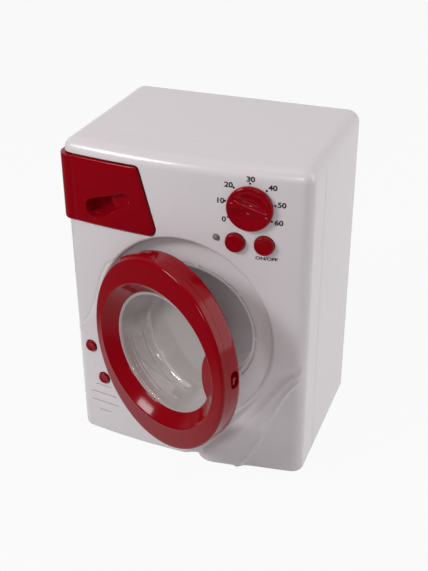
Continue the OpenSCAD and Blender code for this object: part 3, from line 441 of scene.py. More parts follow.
def moulded_surface():
    """Node group of every moulded plastic: faint colour mottle, roughness drift and fine ripple."""
    group = bpy.data.node_groups.new("moulded_surface", "ShaderNodeTree")
    sockets = (
        ("INPUT", (("Colour", "Color"), ("Mottle", "Float"), ("Roughness", "Float"), ("Ripple", "Float"),
                   ("Ripple Size", "Float"))),
        ("OUTPUT", (("Colour", "Color"), ("Roughness", "Float"), ("Normal", "Vector"))),
    )
    for way, kinds in sockets:
        for name, kind in kinds:
            group.interface.new_socket(name, in_out=way, socket_type="NodeSocket" + kind)
    nodes, links = group.nodes, group.links
    given = nodes.new("NodeGroupInput")
    result = nodes.new("NodeGroupOutput")
    coords = nodes.new("ShaderNodeTexCoord")
    drift = add_node(nodes, "ShaderNodeTexNoise", {"Scale": 9, "Detail": 4})
    centred = add_node(nodes, "ShaderNodeMapRange", {"To Min": -1})
    gain = add_node(nodes, "ShaderNodeMath", {2: 1}, operation="MULTIPLY_ADD")
    tint = add_node(nodes, "ShaderNodeVectorMath", operation="SCALE")
    rough = add_node(nodes, "ShaderNodeMapRange", {"To Min": 0.85, "To Max": 1.2})
    scaled = add_node(nodes, "ShaderNodeMath", operation="MULTIPLY")
    waves = add_node(nodes, "ShaderNodeTexNoise", {"Detail": 1})
    bump = add_node(nodes, "ShaderNodeBump", {"Distance": 0.002})
    links.new(coords.outputs["Object"], drift.inputs["Vector"])
    links.new(drift.outputs["Fac"], centred.inputs["Value"])
    links.new(centred.outputs["Result"], gain.inputs[0])
    links.new(given.outputs["Mottle"], gain.inputs[1])
    links.new(given.outputs["Colour"], tint.inputs[0])
    links.new(gain.outputs[0], tint.inputs["Scale"])
    links.new(tint.outputs["Vector"], result.inputs["Colour"])
    links.new(drift.outputs["Fac"], rough.inputs["Value"])
    links.new(rough.outputs["Result"], scaled.inputs[0])
    links.new(given.outputs["Roughness"], scaled.inputs[1])
    links.new(scaled.outputs[0], result.inputs["Roughness"])
    links.new(coords.outputs["Object"], waves.inputs["Vector"])
    links.new(given.outputs["Ripple Size"], waves.inputs["Scale"])
    links.new(given.outputs["Ripple"], bump.inputs["Strength"])
    links.new(waves.outputs["Fac"], bump.inputs["Height"])
    links.new(bump.outputs["Normal"], result.inputs["Normal"])
    return group


SURFACE = moulded_surface()


def plastic(name, colour, roughness=0.2, specular=0.5, subsurface=0.0, mottle=0.02, ripple=0.02):
    """Glossy moulded plastic."""
    material, nodes, links = new_material(name)
    shader = nodes["Principled BSDF"]
    values = {"Colour": (*colour, 1), "Mottle": mottle, "Roughness": roughness, "Ripple": ripple,
              "Ripple Size": RIPPLE_SIZE}
    surface = add_node(nodes, "ShaderNodeGroup", values, node_tree=SURFACE)
    for given, socket in (("Colour", "Base Color"), ("Roughness", "Roughness"), ("Normal", "Normal")):
        links.new(surface.outputs[given], shader.inputs[socket])
    shader.inputs["Specular IOR Level"].default_value = specular
    shader.inputs["Subsurface Weight"].default_value = subsurface
    shader.inputs["Subsurface Radius"].default_value = (0.004, 0.003, 0.003)
    return material


def clear_plastic(name):
    """Clear moulded plastic with a faint milkiness, and a mirror-like sheen that grows at a slant."""
    material, nodes, links = new_material(name)
    nodes.remove(nodes["Principled BSDF"])
    see = add_node(nodes, "ShaderNodeBsdfTransparent", {"Color": (0.97, 0.98, 0.98, 1)})
    sheen = add_node(nodes, "ShaderNodeBsdfGlossy", {"Roughness": 0.06})
    haze = add_node(nodes, "ShaderNodeBsdfDiffuse", {"Color": (0.97, 0.9, 0.89, 1)})
    slant = add_node(nodes, "ShaderNodeFresnel", {"IOR": 1.55})
    coords = nodes.new("ShaderNodeTexCoord")
    waves = add_node(nodes, "ShaderNodeTexNoise", {"Scale": 30})
    bump = add_node(nodes, "ShaderNodeBump", {"Strength": 0.04, "Distance": 0.002})
    facing = add_node(nodes, "ShaderNodeLayerWeight", {"Blend": 0.4})
    milk = add_node(nodes, "ShaderNodeMapRange", {"To Min": 0.22, "To Max": 0.62})
    path = nodes.new("ShaderNodeLightPath")
    lit_through = add_node(nodes, "ShaderNodeMath", {1: -0.8, 2: 1}, operation="MULTIPLY_ADD")
    veil = add_node(nodes, "ShaderNodeMath", operation="MULTIPLY")
    body = nodes.new("ShaderNodeMixShader")
    mix = nodes.new("ShaderNodeMixShader")
    links.new(facing.outputs["Facing"], milk.inputs["Value"])
    links.new(path.outputs["Is Shadow Ray"], lit_through.inputs[0])
    links.new(milk.outputs["Result"], veil.inputs[0])
    links.new(lit_through.outputs[0], veil.inputs[1])
    links.new(veil.outputs[0], body.inputs[0])
    links.new(coords.outputs["Object"], waves.inputs["Vector"])
    links.new(waves.outputs["Fac"], bump.inputs["Height"])
    for target in (sheen, slant):
        links.new(bump.outputs["Normal"], target.inputs["Normal"])
    links.new(see.outputs[0], body.inputs[1])
    links.new(haze.outputs[0], body.inputs[2])
    links.new(slant.outputs[0], mix.inputs[0])
    links.new(body.outputs[0], mix.inputs[1])
    links.new(sheen.outputs[0], mix.inputs[2])
    links.new(mix.outputs[0], nodes["Material Output"].inputs["Surface"])
    return material


def metal(name, colour, roughness=0.3):
    """Plain metal with fine drawn streaks."""
    material, nodes, links = new_material(name)
    shader = nodes["Principled BSDF"]
    shader.inputs["Base Color"].default_value = (*colour, 1)
    shader.inputs["Metallic"].default_value = 1
    coords = nodes.new("ShaderNodeTexCoord")
    stretch = add_node(nodes, "ShaderNodeMapping", {"Scale": (400, 20, 400)})
    streaks = add_node(nodes, "ShaderNodeTexNoise", {"Scale": 3})
    rough = add_node(nodes, "ShaderNodeMapRange", {"To Min": roughness * 0.7, "To Max": roughness * 1.3})
    links.new(coords.outputs["Object"], stretch.inputs["Vector"])
    links.new(stretch.outputs["Vector"], streaks.inputs["Vector"])
    links.new(streaks.outputs["Fac"], rough.inputs["Value"])
    links.new(rough.outputs["Result"], shader.inputs["Roughness"])
    return material


WHITE = plastic("white_plastic", (0.665, 0.64, 0.662), 0.22, 0.5, subsurface=0.05, mottle=0.006, ripple=0.004)
INNER = plastic("inner_plastic", (0.66, 0.63, 0.64), 0.3, 0.4, mottle=0.01)
RED = plastic("red_plastic", (0.235, 0.001, 0.006), 0.12, 0.17, mottle=0.03, ripple=0.03)
# Drum white is painted brighter and pinker than the casing's white: its own white plus painted light inside
# the drum.
DRUM_WHITE_AND_PAINTED_LIGHT = plastic("drum_plastic", (0.9, 0.85, 0.84), 0.35, 0.3, mottle=0.01)
GEAR = plastic("gear_plastic", (0.68, 0.64, 0.52), 0.4, mottle=0.02)
INK = plastic("printed_ink", (0.012, 0.012, 0.014), 0.45, mottle=0.05, ripple=0.0)
# Pale red for the painted highlights at both ends of the knob's bar.
KNOB_END_HIGHLIGHT = plastic("knob_end_painted_highlight", (0.45, 0.09, 0.1), 0.3)
BLACK = plastic("black_plastic", (0.02, 0.02, 0.022), 0.35)
BOARD = plastic("circuit_board", (0.03, 0.2, 0.07), 0.35, mottle=0.12)
CELL = plastic("cell_wrap", (0.05, 0.09, 0.25), 0.25)
LENS = plastic("lamp_plastic", (0.16, 0.15, 0.13), 0.12, 0.6)
WINDOW = clear_plastic("clear_plastic")
STEEL = metal("steel", (0.62, 0.63, 0.65))
BRASS = metal("brass", (0.75, 0.55, 0.25))
CAN = metal("motor_can", (0.55, 0.56, 0.58), 0.2)

NODE_MATERIALS = {
    INNER: ("drawer_guide", "gear_plate_front", "gear_plate_rear", "drawer_tray", "timer_spindle"),
    RED: ("latch_nib",),
    DRUM_WHITE_AND_PAINTED_LIGHT: ("drum", "drum_back", "drum_lifters"),
    GEAR: ("drum_gear", "idler_gear"),
    BLACK: ("board_switches", "timer_unit", "speaker"),
    BOARD: ("circuit_board", "side_board"),
    CELL: ("battery_cells",),
    LENS: ("lamp",),
    BRASS: ("motor_pinion", "drum_bush"),
    CAN: ("motor",),
    WHITE: ("battery_cover",),
    STEEL: (
        "idler_pin", "battery_contacts", "shell_screws", "gearbox_screws", "board_screws", "door_screws",
        "hinge_pin", "drum_shaft", "motor_shaft", "start_spring", "power_spring", "upper_spring",
        "lower_spring", "battery_cover_screw",
    ),
}


def paint_nodes():
    for material, names in NODE_MATERIALS.items():
        for name in names:
            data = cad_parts[name].data
            data.materials.clear()
            data.materials.append(material)


# Casing


def front_track():
    left, right = -math.pi, 0.0
    down = -math.pi / 2
    stretches = [
        ("line", (-HALF_W, SEAM_Y), (-HALF_W, CORNER_Y)),
        ("arc", (-CORNER_X, CORNER_Y), EDGE_R, left, down - FRONT_TURN),
        ("arc", (0, FRONT_AXIS_Y), FRONT_R, down - FRONT_TURN, down + FRONT_TURN),
        ("arc", (CORNER_X, CORNER_Y), EDGE_R, down + FRONT_TURN, right),
        ("line", (HALF_W, CORNER_Y), (HALF_W, SEAM_Y)),
    ]
    half = Track(stretches, 0).high / 2
    return Track(stretches, half)


def rear_track():
    stretches = [
        ("line", (HALF_W, SEAM_Y), (HALF_W, HALF_D - EDGE_R)),
        ("arc", (HALF_W - EDGE_R, HALF_D - EDGE_R), EDGE_R, 0, math.pi / 2),
        ("line", (HALF_W - EDGE_R, HALF_D), (EDGE_R - HALF_W, HALF_D)),
        ("arc", (EDGE_R - HALF_W, HALF_D - EDGE_R), EDGE_R, math.pi / 2, math.pi),
        ("line", (-HALF_W, HALF_D - EDGE_R), (-HALF_W, SEAM_Y)),
    ]
    half = Track(stretches, 0).high / 2
    return Track(stretches, half)


FRONT = front_track()
REAR = rear_track()


def x_to_s(x):
    """Walked length on the front stretch at x."""
    return FRONT_R * np.arcsin(np.asarray(x, float) / FRONT_R)


def s_to_x(s):
    return FRONT_R * np.sin(np.clip(np.asarray(s, float) / FRONT_R, -0.18, 0.18))


def polyline_x(z, line):
    """x of a line given as (x, z) points with rising z."""
    line = np.array(line)
    return np.interp(z, line[:, 1], line[:, 0])


VALLEY = ((8, -3), (10.1, 0.4), (17.2, 9.5), (24.8, 18.9), (33.2, 28.2), (41.8, 38.1), (53.6, 53.6),
          (65.4, 70.3), (72.9, 80.5), (81.4, 88.8), (89.2, 94.3), (96, 97))
CREASE = ((42.5, 0), (45, 3.2), (53.6, 18), (60.2, 32), (65, 44.3), (71.2, 60.6), (77.3, 72.5), (83.4, 80.2),
          (88, 84.7), (96, 89))
S_GROOVE = ((-49.6, 156.3), (-57.3, 151.6), (-61.7, 143.3), (-65.6, 131.9), (-69.7, 118.8), (-75.6, 104.8),
            (-81.1, 96.9), (-85.4, 95.2), (-89.5, 94.6))

# Heights up the front, with how far the swoosh stands proud and how strong its valley and lip are there
SWOOSH_HEIGHTS = ((0, 3.9), (20, 3.7), (45, 3.0), (70, 2.0), (90, 0.8), (100, 0.0))
SWOOSH_STRENGTH = ((0, 1.0), (50, 1.0), (75, 0.6), (92, 0.0))
VALLEY_DROP, LIP_RISE, GROOVE_DROP = 3.4, 1.7, 0.45


def relief(s, z):
    """How far the swoosh stands proud of the bulged front, and its valley and crease below it."""
    x = s_to_x(s)
    left, right = polyline_x(z, VALLEY), polyline_x(z, CREASE)
    width = right - left
    t = (x - left) / width
    tall = np.interp(z, *zip(*SWOOSH_HEIGHTS))
    flank = smooth_step((t + 0.06) / 0.42)
    off = x - right
    kept = 0.7
    before = 1 - (1 - kept) * smooth_step((t - 0.3) / 0.7)
    beyond = kept * np.exp(-np.maximum(off, 0) / 4.5)
    roll = tall * flank * np.where(off < 0, before, beyond)
    depth = np.interp(z, *zip(*SWOOSH_STRENGTH))
    valley = -VALLEY_DROP * depth * np.exp(-(((x - left + 1.0) / np.where(x < left, 7.0, 3.0)) ** 2))
    lip = LIP_RISE * depth * np.exp(-((off / np.where(off < 0, 2.4, 1.6)) ** 2))
    fade = 1 - smooth_step((z - 88) / 12)
    low = (z < 100) & (x > 0)
    shape = np.where(low, (roll + valley + lip) * fade, 0.0)
    points = np.stack([x, z], 1)
    near = np.full(len(x), 99.0)
    close = (x < -40) & (z > 85) & (z < 170)
    if close.any():
        near[close] = distance_to(points[close], S_GROOVE, closed=False)
    groove = -GROOVE_DROP * np.exp(-((near / 0.9) ** 2))
    return shape + groove


def corner_fade(s):
    """1 on the front, falling to 0 round the corners."""
    edge = x_to_s(CORNER_X)
    return 1 - smooth_step((np.abs(s) - edge - 3.0) / (EDGE_R * 1.2))


def casing_points(track, s, z, drop=0.0, inset=0.0, slope=0.0, relieved=False):
    """Points on the casing's outside.

    drop goes inward, and inset follows the edge rounding that has turned by slope.
    """
    s, z = np.asarray(s, float), np.asarray(z, float)
    at, out = track.walk(s)
    lip = SEAM_LIP * smooth_step((np.abs(s) - (track.high - 2 * SEAM_LIP)) / (2 * SEAM_LIP))
    proud = relief(s, z) * corner_fade(s) if relieved else 0.0
    push = proud - drop - inset - lip * math.cos(slope)
    plan = at + out * np.reshape(push, (-1, 1))
    height = z - lip * math.sin(slope)
    return np.column_stack([plan, height])


def s_columns(track, corners, wide, narrow=0.8):
    """Lengths along a track: close together round the corners and by the seam, wide apart elsewhere."""
    marks = sorted({track.low, track.high, track.low + SEAM_LIP, track.high - SEAM_LIP,
                    track.low + 2 * SEAM_LIP, track.high - 2 * SEAM_LIP, *corners})
    out = [marks[0]]
    for a, b in zip(marks, marks[1:]):
        turning = any(abs((a + b) / 2 - (c0 + c1) / 2) < 0.01 for c0, c1 in zip(corners[::2], corners[1::2]))
        step = narrow if turning else wide
        n = max(1, math.ceil((b - a) / step))
        out += [a + (b - a) * (k + 1) / n for k in range(n)]
    return np.array(out)


def track_corners(track):
    return [track.starts[1], track.starts[2], track.starts[3], track.starts[4]]


def side_wall(skin, track, holes, extra, wide, relieved):
    """The upright wall, with its holes, and the rounded bottom and top edges. Returns each hole's points."""
    columns = s_columns(track, track_corners(track), wide)
    z0, z1 = BASE_R, HEIGHT - EDGE_R
    heights = np.linspace(z0, z1, 61)
    outer = np.concatenate([
        np.column_stack([columns, np.full(len(columns), z0)]),
        np.column_stack([np.full(59, track.high), heights[1:-1]]),
        np.column_stack([columns[::-1], np.full(len(columns), z1)]),
        np.column_stack([np.full(59, track.low), heights[-2:0:-1]]),
    ])
    grid_s, grid_z = np.meshgrid(columns[1:-1], heights[1:-1])
    fill = np.column_stack([grid_s.ravel(), grid_z.ravel()])
    if extra is not None:
        fill = np.concatenate([fill[~extra[0](fill)], extra[1]])
    flat, triangles, rows = triangulate(outer, holes, fill)
    index = skin.add(casing_points(track, flat[:, 0], flat[:, 1], relieved=relieved))
    skin.faces += [tuple(index[i] for i in t) for t in triangles]
    bottom = []
    for a in np.radians(np.linspace(90, 0, 6)):
        inset = BASE_R * (1 - math.sin(a))
        height = BASE_R * (1 - math.cos(a))
        row = casing_points(track, columns, np.full(len(columns), height), inset=inset, relieved=relieved)
        bottom.append(row)
    added = skin.rows(bottom)
    skin.face(added[-1])
    top = []
    for a in np.radians(np.linspace(0, 90, 13)):
        inset = EDGE_R * (1 - math.cos(a))
        height = z1 + EDGE_R * math.sin(a)
        top.append(casing_points(track, columns, np.full(len(columns), height), inset=inset, slope=a))
    added = skin.rows(top)
    last = added[-1]
    skin.face(last[2:-2])
    skin.faces.append((last[0], last[1], last[-2], last[-1]))
    skin.faces.append((last[1], last[2], last[-3], last[-2]))
    return [[index[i] for i in row] for row in rows[1:]]


def hole_wall(skin, track, grow, depth, edge=0.25, relieved=False):
    """Rounded lip and inner wall of a hole. grow(g) gives its outline, larger by g."""
    rows = []
    for a in np.radians(np.linspace(0, 90, 4)):
        loop = grow(edge * (1 - math.sin(a)))
        drop = edge * (1 - math.cos(a))
        rows.append(casing_points(track, loop[:, 0], loop[:, 1], drop=drop, relieved=relieved))
    loop = grow(0)
    rows.append(casing_points(track, loop[:, 0], loop[:, 1], drop=depth, relieved=relieved))
    skin.rows(rows, closed=True)


def drawer_loop(grow, spacing=2.0):
    """Outline of the drawer's front in walked length and height."""
    low_r, top_r = 5 + grow, 3 + grow
    lean = math.degrees(math.atan((DRAWER_LOW_X - DRAWER_TOP_X) / (DRAWER_TOP - DRAWER_BOTTOM)))
    low_turn = low_r * math.tan(math.radians(45 + lean / 2))
    top_turn = top_r * math.tan(math.radians(45 - lean / 2))
    low = arc(DRAWER_LOW_X + grow - low_turn, DRAWER_BOTTOM - grow + low_r, low_r, -90, lean, 10)
    top = arc(DRAWER_TOP_X + grow - top_turn, DRAWER_TOP + grow - top_r, top_r, lean, 90, 8)
    back = FRONT.starts[1] - (DRAWER_WRAP_Y + grow - CORNER_Y)
    side_r = 1.5 + grow
    head = arc(back + side_r, DRAWER_TOP + grow - side_r, side_r, 90, 180, 4)
    foot = arc(back + side_r, DRAWER_BOTTOM - grow + side_r, side_r, 180, 270, 4)
    front = np.concatenate([low, top])
    front[:, 0] = x_to_s(front[:, 0])
    loop = np.concatenate([front, head, foot])
    return resample(loop, spacing)


def spot_loop(x, z, r, steps=48):
    s = float(x_to_s(x))
    return lambda grow: oval(r + grow, r + grow, steps, s, z)


def slot_loop(x, z, width, height):
    s = float(x_to_s(x))

    def loop(grow):
        r = height / 2 + grow
        reach = width / 2 - height / 2
        ends = [arc(s + reach, z, r, -90, 90, 6), arc(s - reach, z, r, 90, 270, 6)]
        return np.concatenate(ends)

    return loop


def recess_rim(grow, steps=240):
    loop = oval(RECESS_RX + grow, RECESS_RZ + grow, steps, 0, DOOR_Z)
    return np.column_stack([x_to_s(loop[:, 0]), loop[:, 1]])


def beside(line, offsets, spacing=1.0):
    """Rows of points beside a line on the front, in walked length and height."""
    line = resample(np.array(line, float), spacing, closed=False)
    step = np.gradient(line, axis=0)
    side = np.column_stack([step[:, 1], -step[:, 0]]) / np.hypot(*step.T)[:, None]
    rows = np.concatenate([line + side * k for k in offsets])
    rows[:, 0] = x_to_s(rows[:, 0])
    return rows


def fine_zone():
    """Close points where the swoosh and the groove shape the front."""
    right_end = x_to_s(CORNER_X) + 11
    s, z = np.meshgrid(np.arange(6, right_end, 1.2), np.arange(BASE_R + 0.9, 101, 1.2))
    grid = np.column_stack([s.ravel(), z.ravel()])
    crease = np.array([c for c in CREASE if c[1] < 93], float)
    valley = np.array([c for c in VALLEY if c[1] < 93], float)
    bands = ((crease, np.arange(-4.2, 3.4, 0.42), 4.6), (valley, np.arange(-3.6, 6.1, 0.6), 6.2))
    extra = []
    for line, offsets, clear in bands:
        track = np.column_stack([x_to_s(line[:, 0]), line[:, 1]])
        grid = grid[distance_to(grid, track, False) > clear]
        rows = beside(line, offsets, 1.2)
        extra.append(rows[(rows[:, 1] > BASE_R + 0.5) & (rows[:, 0] < right_end)])
    crease_line = np.column_stack([x_to_s(crease[:, 0]), crease[:, 1]])
    extra[1] = extra[1][distance_to(extra[1], crease_line, False) > 4.6]
    groove = beside(S_GROOVE, (-2.4, -1.6, -1.0, -0.5, 0, 0.5, 1.0, 1.6, 2.4))
    groove_line = beside(S_GROOVE, (0,))

    def covered(points):
        in_swoosh = (points[:, 0] > 5.5) & (points[:, 1] < 101.5) & (points[:, 0] < right_end)
        return in_swoosh | (distance_to(points, groove_line, False) < 3.0)

    return covered, np.concatenate([grid, groove] + extra)


def front_shell():
    skin = Skin()
    rim_edge = 2.6
    spots = [
        (spot_loop(START_X, BUTTON_Z, BUTTON_R + 0.3), WALL),
        (spot_loop(POWER_X, BUTTON_Z, BUTTON_R + 0.3), WALL),
        (spot_loop(LAMP_X, LAMP_Z, LAMP_R + 0.15, 32), WALL),
        (spot_loop(*UPPER_AT, LOW_BUTTON_R + 0.4), WALL),
        (spot_loop(*LOWER_AT, LOW_BUTTON_R + 0.4), WALL),
    ]
    spots += [(slot_loop(SPEAKER_X, SPEAKER_Z + dz, w, SOUND_SLOT_W), WALL) for dz, w in SOUND_SLOTS]
    edge = 0.25
    holes = [recess_rim(rim_edge), drawer_loop(DRAWER_GAP + edge)] + [g(edge) for g, _ in spots]
    side_wall(skin, FRONT, holes, fine_zone(), 2.5, relieved=True)
    for grow, depth in spots:
        hole_wall(skin, FRONT, grow, depth, edge, relieved=True)
    hole_wall(skin, FRONT, lambda g: drawer_loop(DRAWER_GAP + g), WALL, edge, relieved=True)
    recess(skin, rim_edge)
    obj = skin.build("front_casing", WHITE, "casing", 40)
    weigh_normals(obj)
    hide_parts("front_shell")


def recess(skin, rim_edge):
    """Rounded rim, oval wall, slotted floor and the collar that reaches the drum."""
    rows = []
    for a in np.radians(np.linspace(0, 90, 12)):
        loop = recess_rim(rim_edge * (1 - math.sin(a)))
        drop = rim_edge * (1 - math.cos(a))
        points = casing_points(FRONT, loop[:, 0], loop[:, 1], relieved=True)
        points[:, 1] += drop
        rows.append(points)
    foot = 2.0
    for a in np.radians(np.linspace(0, 90, 7)):
        inset = foot * (1 - math.cos(a))
        loop = oval(RECESS_RX - inset, RECESS_RZ - inset, 240, 0, DOOR_Z)
        rows.append(at_depth(loop, RECESS_FLOOR_Y - foot + foot * math.sin(a)))
    skin.rows(rows, closed=True)
    lip = 1.2
    outer = oval(RECESS_RX - foot, RECESS_RZ - foot, 240, 0, DOOR_Z)
    inner = oval(COLLAR_R + lip, COLLAR_R + lip, 192, 0, DOOR_Z)
    slotted_floor(skin, outer, inner)
    rows = []
    for a in np.radians(np.linspace(90, 0, 6)):
        r = COLLAR_R + lip * (1 - math.cos(a))
        rows.append(at_depth(oval(r, r, 192, 0, DOOR_Z), RECESS_FLOOR_Y + lip * (1 - math.sin(a))))
    outside = COLLAR_R + WALL
    for r, y in ((COLLAR_R, COLLAR_END_Y), (outside, COLLAR_END_Y), (outside, RECESS_FLOOR_Y + 2.0)):
        rows.append(at_depth(oval(r, r, 192, 0, DOOR_Z), y))
    skin.rows(rows, closed=True)


def slotted_floor(skin, outer, inner):
    """The recess's floor between two outlines, with its ring of shallow slots."""
    slots = []
    step = 360 / SLOT_COUNT
    bridge = 3.4
    for i in range(SLOT_COUNT):
        start, end = i * step + bridge / 2 + 1, (i + 1) * step - bridge / 2 + 1
        outside = arc(0, DOOR_Z, SLOT_R + SLOT_W / 2, start, end, 20)
        slots.append(np.concatenate([outside, arc(0, DOOR_Z, SLOT_R - SLOT_W / 2, end, start, 20)]))
    fill = np.concatenate([oval(r, r, 150, 0, DOOR_Z) for r in (54.5, 57, 59.5)])
    flat, triangles, _ = triangulate(outer, [inner] + slots, fill)
    index = skin.add(at_depth(flat, RECESS_FLOOR_Y))
    skin.faces += [tuple(index[i] for i in t) for t in triangles]
    for loop in slots:
        added = skin.rows([at_depth(loop, RECESS_FLOOR_Y + d) for d in (0, SLOT_DEPTH)], closed=True)
        half = len(loop) // 2
        skin.strip(added[1][:half], added[1][:half - 1:-1])


def rear_shell():
    skin = Skin()

    def at_back(x, z, r):
        return lambda grow: oval(r + grow, r + grow, 40, -x, z)

    def cover_loop(grow):
        r = 0.6 + grow
        low, high = COVER_LOW - grow, COVER_HIGH + grow
        side = COVER_HALF_W + grow
        return resample(rounded_box(-side, side, low, high, r, 4), 3.0)

    screws = [at_back(x, z, 3.2) for x in (-SCREW_X, SCREW_X) for z in SCREW_ZS]
    edge = 0.3
    holes = [cover_loop(edge)] + [g(edge) for g in screws]
    side_wall(skin, REAR, holes, None, 4.0, relieved=False)
    hole_wall(skin, REAR, cover_loop, WALL, edge)
    for grow in screws:
        hole_wall(skin, REAR, grow, 60, edge)
    obj = skin.build("rear_casing", WHITE, "casing", 40)
    weigh_normals(obj)
    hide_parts("rear_shell")


# Door


def hang(obj):
    """Turns a piece drawn with the door closed to where the door rests."""
    pivot = Matrix.Translation(Vector((HINGE[0], HINGE[1], 0)) * MM)
    turn = Matrix.Rotation(-math.radians(DOOR_OPEN), 4, "Z")
    obj.data.transform(pivot @ turn @ pivot.inverted())


def door_row(rounding, inset, circle_r, depth, steps=360, bump=0.0):
    """One row round the door: rounding 0 follows the oval less the inset, 1 follows a circle."""
    a = np.linspace(0, 2 * math.pi, steps, endpoint=False)
    x = (1 - rounding) * (DOOR_RX - inset + bump) * np.cos(a) + rounding * circle_r * np.cos(a)
    z = (1 - rounding) * (DOOR_RZ - inset + bump) * np.sin(a) + rounding * circle_r * np.sin(a)
    return np.column_stack([DOOR_X + x, np.full(steps, DOOR_BACK_Y - depth), DOOR_Z + z])


def lug_bump(depth, steps=360):
    """Height of the two lugs on the ring's outer wall at a depth."""
    a = np.degrees(np.linspace(0, 2 * math.pi, steps, endpoint=False))
    spread = np.minimum(*(np.abs(a - at) for at in LUG_ANGLES))
    round_way = 1 - smooth_step((spread - LUG_SPREAD) / 1.3)
    deep_way = smooth_step((RING_DEPTH - LUG_FROM_FACE - depth) / 0.7)
    return LUG * round_way * deep_way


def front_ring():
    """Front cover: outer wall with lugs, rounded shoulder, broad face, crest and inner cone to the window."""
    skin = Skin()
    steps = 720
    rows = []

    def wall(inset, depth):
        rows.append(door_row(0, inset, 0, depth, steps, lug_bump(depth, steps)))

    for inset, rise in ((1.6, 0.0), (0.08, 0.02), (0.02, 0.06), (0.0, 0.2)):
        wall(inset, SPLIT_DEPTH + rise)
    shoulder = 2.5
    edge = RING_DEPTH - shoulder
    for depth in np.linspace(SPLIT_DEPTH + 0.9, edge, 12):
        wall(0, depth)
    lean = math.atan((CREST_DEPTH - RING_DEPTH) / (DOOR_RX - CREST_R - shoulder))
    for a in np.linspace(0, math.pi / 2 - lean, 9)[1:]:
        rows.append(door_row(0, shoulder * (1 - math.cos(a)), 0, edge + shoulder * math.sin(a), steps))
    crest = 1.1
    last_inset = shoulder * (1 - math.sin(lean))
    last_depth = edge + shoulder * math.cos(lean)
    for t in np.linspace(0, 1, 10)[1:]:
        depth = last_depth + (CREST_DEPTH - 0.06 - last_depth) * t
        rows.append(door_row(t, last_inset, CREST_R + crest, depth, steps))
    slant = math.atan2(CREST_DEPTH - WINDOW_DEPTH, CREST_R - WINDOW_R)
    for a in np.linspace(0, slant, 8)[1:]:
        radius = CREST_R + crest - crest * math.sin(a) * 1.3
        rows.append(door_row(1, 0, radius, CREST_DEPTH - crest * (1 - math.cos(a)), steps))
    r0 = CREST_R + crest - crest * math.sin(slant) * 1.3
    d0 = CREST_DEPTH - crest * (1 - math.cos(slant))
    for t in np.linspace(0, 0.96, 8)[1:]:
        bow = 0.3 * math.sin(t * math.pi)
        rows.append(door_row(1, 0, r0 + (WINDOW_R - r0) * t + bow, d0 + (WINDOW_DEPTH + 0.3 - d0) * t, steps))
    for radius, depth in ((WINDOW_R - 0.2, WINDOW_DEPTH + 0.1), (WINDOW_R - 0.3, WINDOW_DEPTH - 0.2),
                          (WINDOW_R - 0.2, WINDOW_DEPTH - 0.5), (WINDOW_R + 1.2, WINDOW_DEPTH - 0.7)):
        rows.append(door_row(1, 0, radius, depth, steps))
    skin.rows(rows, closed=True)
    obj = skin.build("door_cover", RED, "door", 50)
    hang(obj)
    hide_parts("door_front_ring")
    grip_plate()


def grip_plate():
    """Lens-shaped finger plate in the window's plane, rounded where fingers reach behind it."""
    x0 = WINDOW_R - GRIP_REACH
    centre = x0 + GRIP_R
    reach = (WINDOW_R**2 - GRIP_R**2 + centre**2) / (2 * centre)
    half = math.degrees(math.atan2(math.sqrt(WINDOW_R**2 - reach**2), reach))
    back = math.degrees(math.atan2(math.sqrt(WINDOW_R**2 - reach**2), centre - reach))
    outline = np.concatenate([
        arc(0, 0, WINDOW_R + 0.6, -half, half, 40),
        arc(centre, 0, GRIP_R, 180 - back, 180 + back, 60)[1:-1],
    ])
    middle = np.array([WINDOW_R - GRIP_REACH / 2, 0])
    round_r = GRIP_THICK / 2
    rows = []
    for a in np.radians(np.linspace(-90, 90, 9)):
        loop = shrunk(outline, middle, round_r * (1 - math.cos(a)))
        depth = WINDOW_DEPTH - round_r + round_r * math.sin(a)
        rows.append(at_depth(loop + (DOOR_X, DOOR_Z), DOOR_BACK_Y - depth))
    skin = Skin()
    skin.capped(rows)
    obj = skin.build("door_grip", RED, "door", 50)
    weigh_normals(obj)
    hang(obj)


def rear_ring():
    """Rear half of the ring, with the latch notch, the notch for the hinge ear and the window's seat."""
    skin = Skin()
    steps = 360
    rows = []
    seat_depth = WINDOW_DEPTH - 1.5
    profile = [(0, 1.6, 0, SPLIT_DEPTH), (0, 0.08, 0, SPLIT_DEPTH - 0.02), (0, 0.02, 0, SPLIT_DEPTH - 0.06),
               (0, 0, 0, SPLIT_DEPTH - 0.2)]
    profile += [(0, 0, 0, d) for d in np.linspace(SPLIT_DEPTH - 1.5, 1.0, 5)]
    profile += [(0, 0.3, 0, 0.3), (0, 1.0, 0, 0.0), (1, 0, SEAT_R + 2.0, 0.0), (1, 0, SEAT_R, 0.3)]
    profile += [(1, 0, SEAT_R, seat_depth), (1, 0, SEAT_R + 2.0, seat_depth)]
    for rounding, inset, circle_r, depth in profile:
        rows.append(door_row(rounding, inset, circle_r, depth, steps))
    added = skin.rows(rows, closed=True)
    skin.strip(added[-1], added[0], closed=True)
    obj = skin.build("door_back_ring", RED, "door", 40)
    low, high = LATCH_Z + DOOR_Z - 6.5, LATCH_Z + DOOR_Z + 6.5
    side = DOOR_X + DOOR_RX
    notch = cutter_block((side - 3.6, DOOR_BACK_Y - 8.6, low), (side + 5, DOOR_BACK_Y - 1.6, high), 3.2)
    ear_low = (HINGE[0] - 6, HINGE[1] - 5, DOOR_Z - 6.3)
    ear = cutter_block(ear_low, (HINGE[0] + 3.1, DOOR_BACK_Y + 4, DOOR_Z + 6.3), 0)
    carve(obj, [notch, ear])
    soften(obj.data, 40)
    hang(obj)
    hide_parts("door_rear_ring")
    knuckle = rounded([(0, -3.0), (2.4, -3.0), (2.4, 3.0), (0, 3.0)], 0.4)
    for name, side in (("upper", 1), ("lower", -1)):
        place = Matrix.Translation((HINGE[0], HINGE[1], DOOR_Z + side * 9.3))
        hang(turned("hinge_knuckle_" + name, knuckle, place, RED, "door", 40))


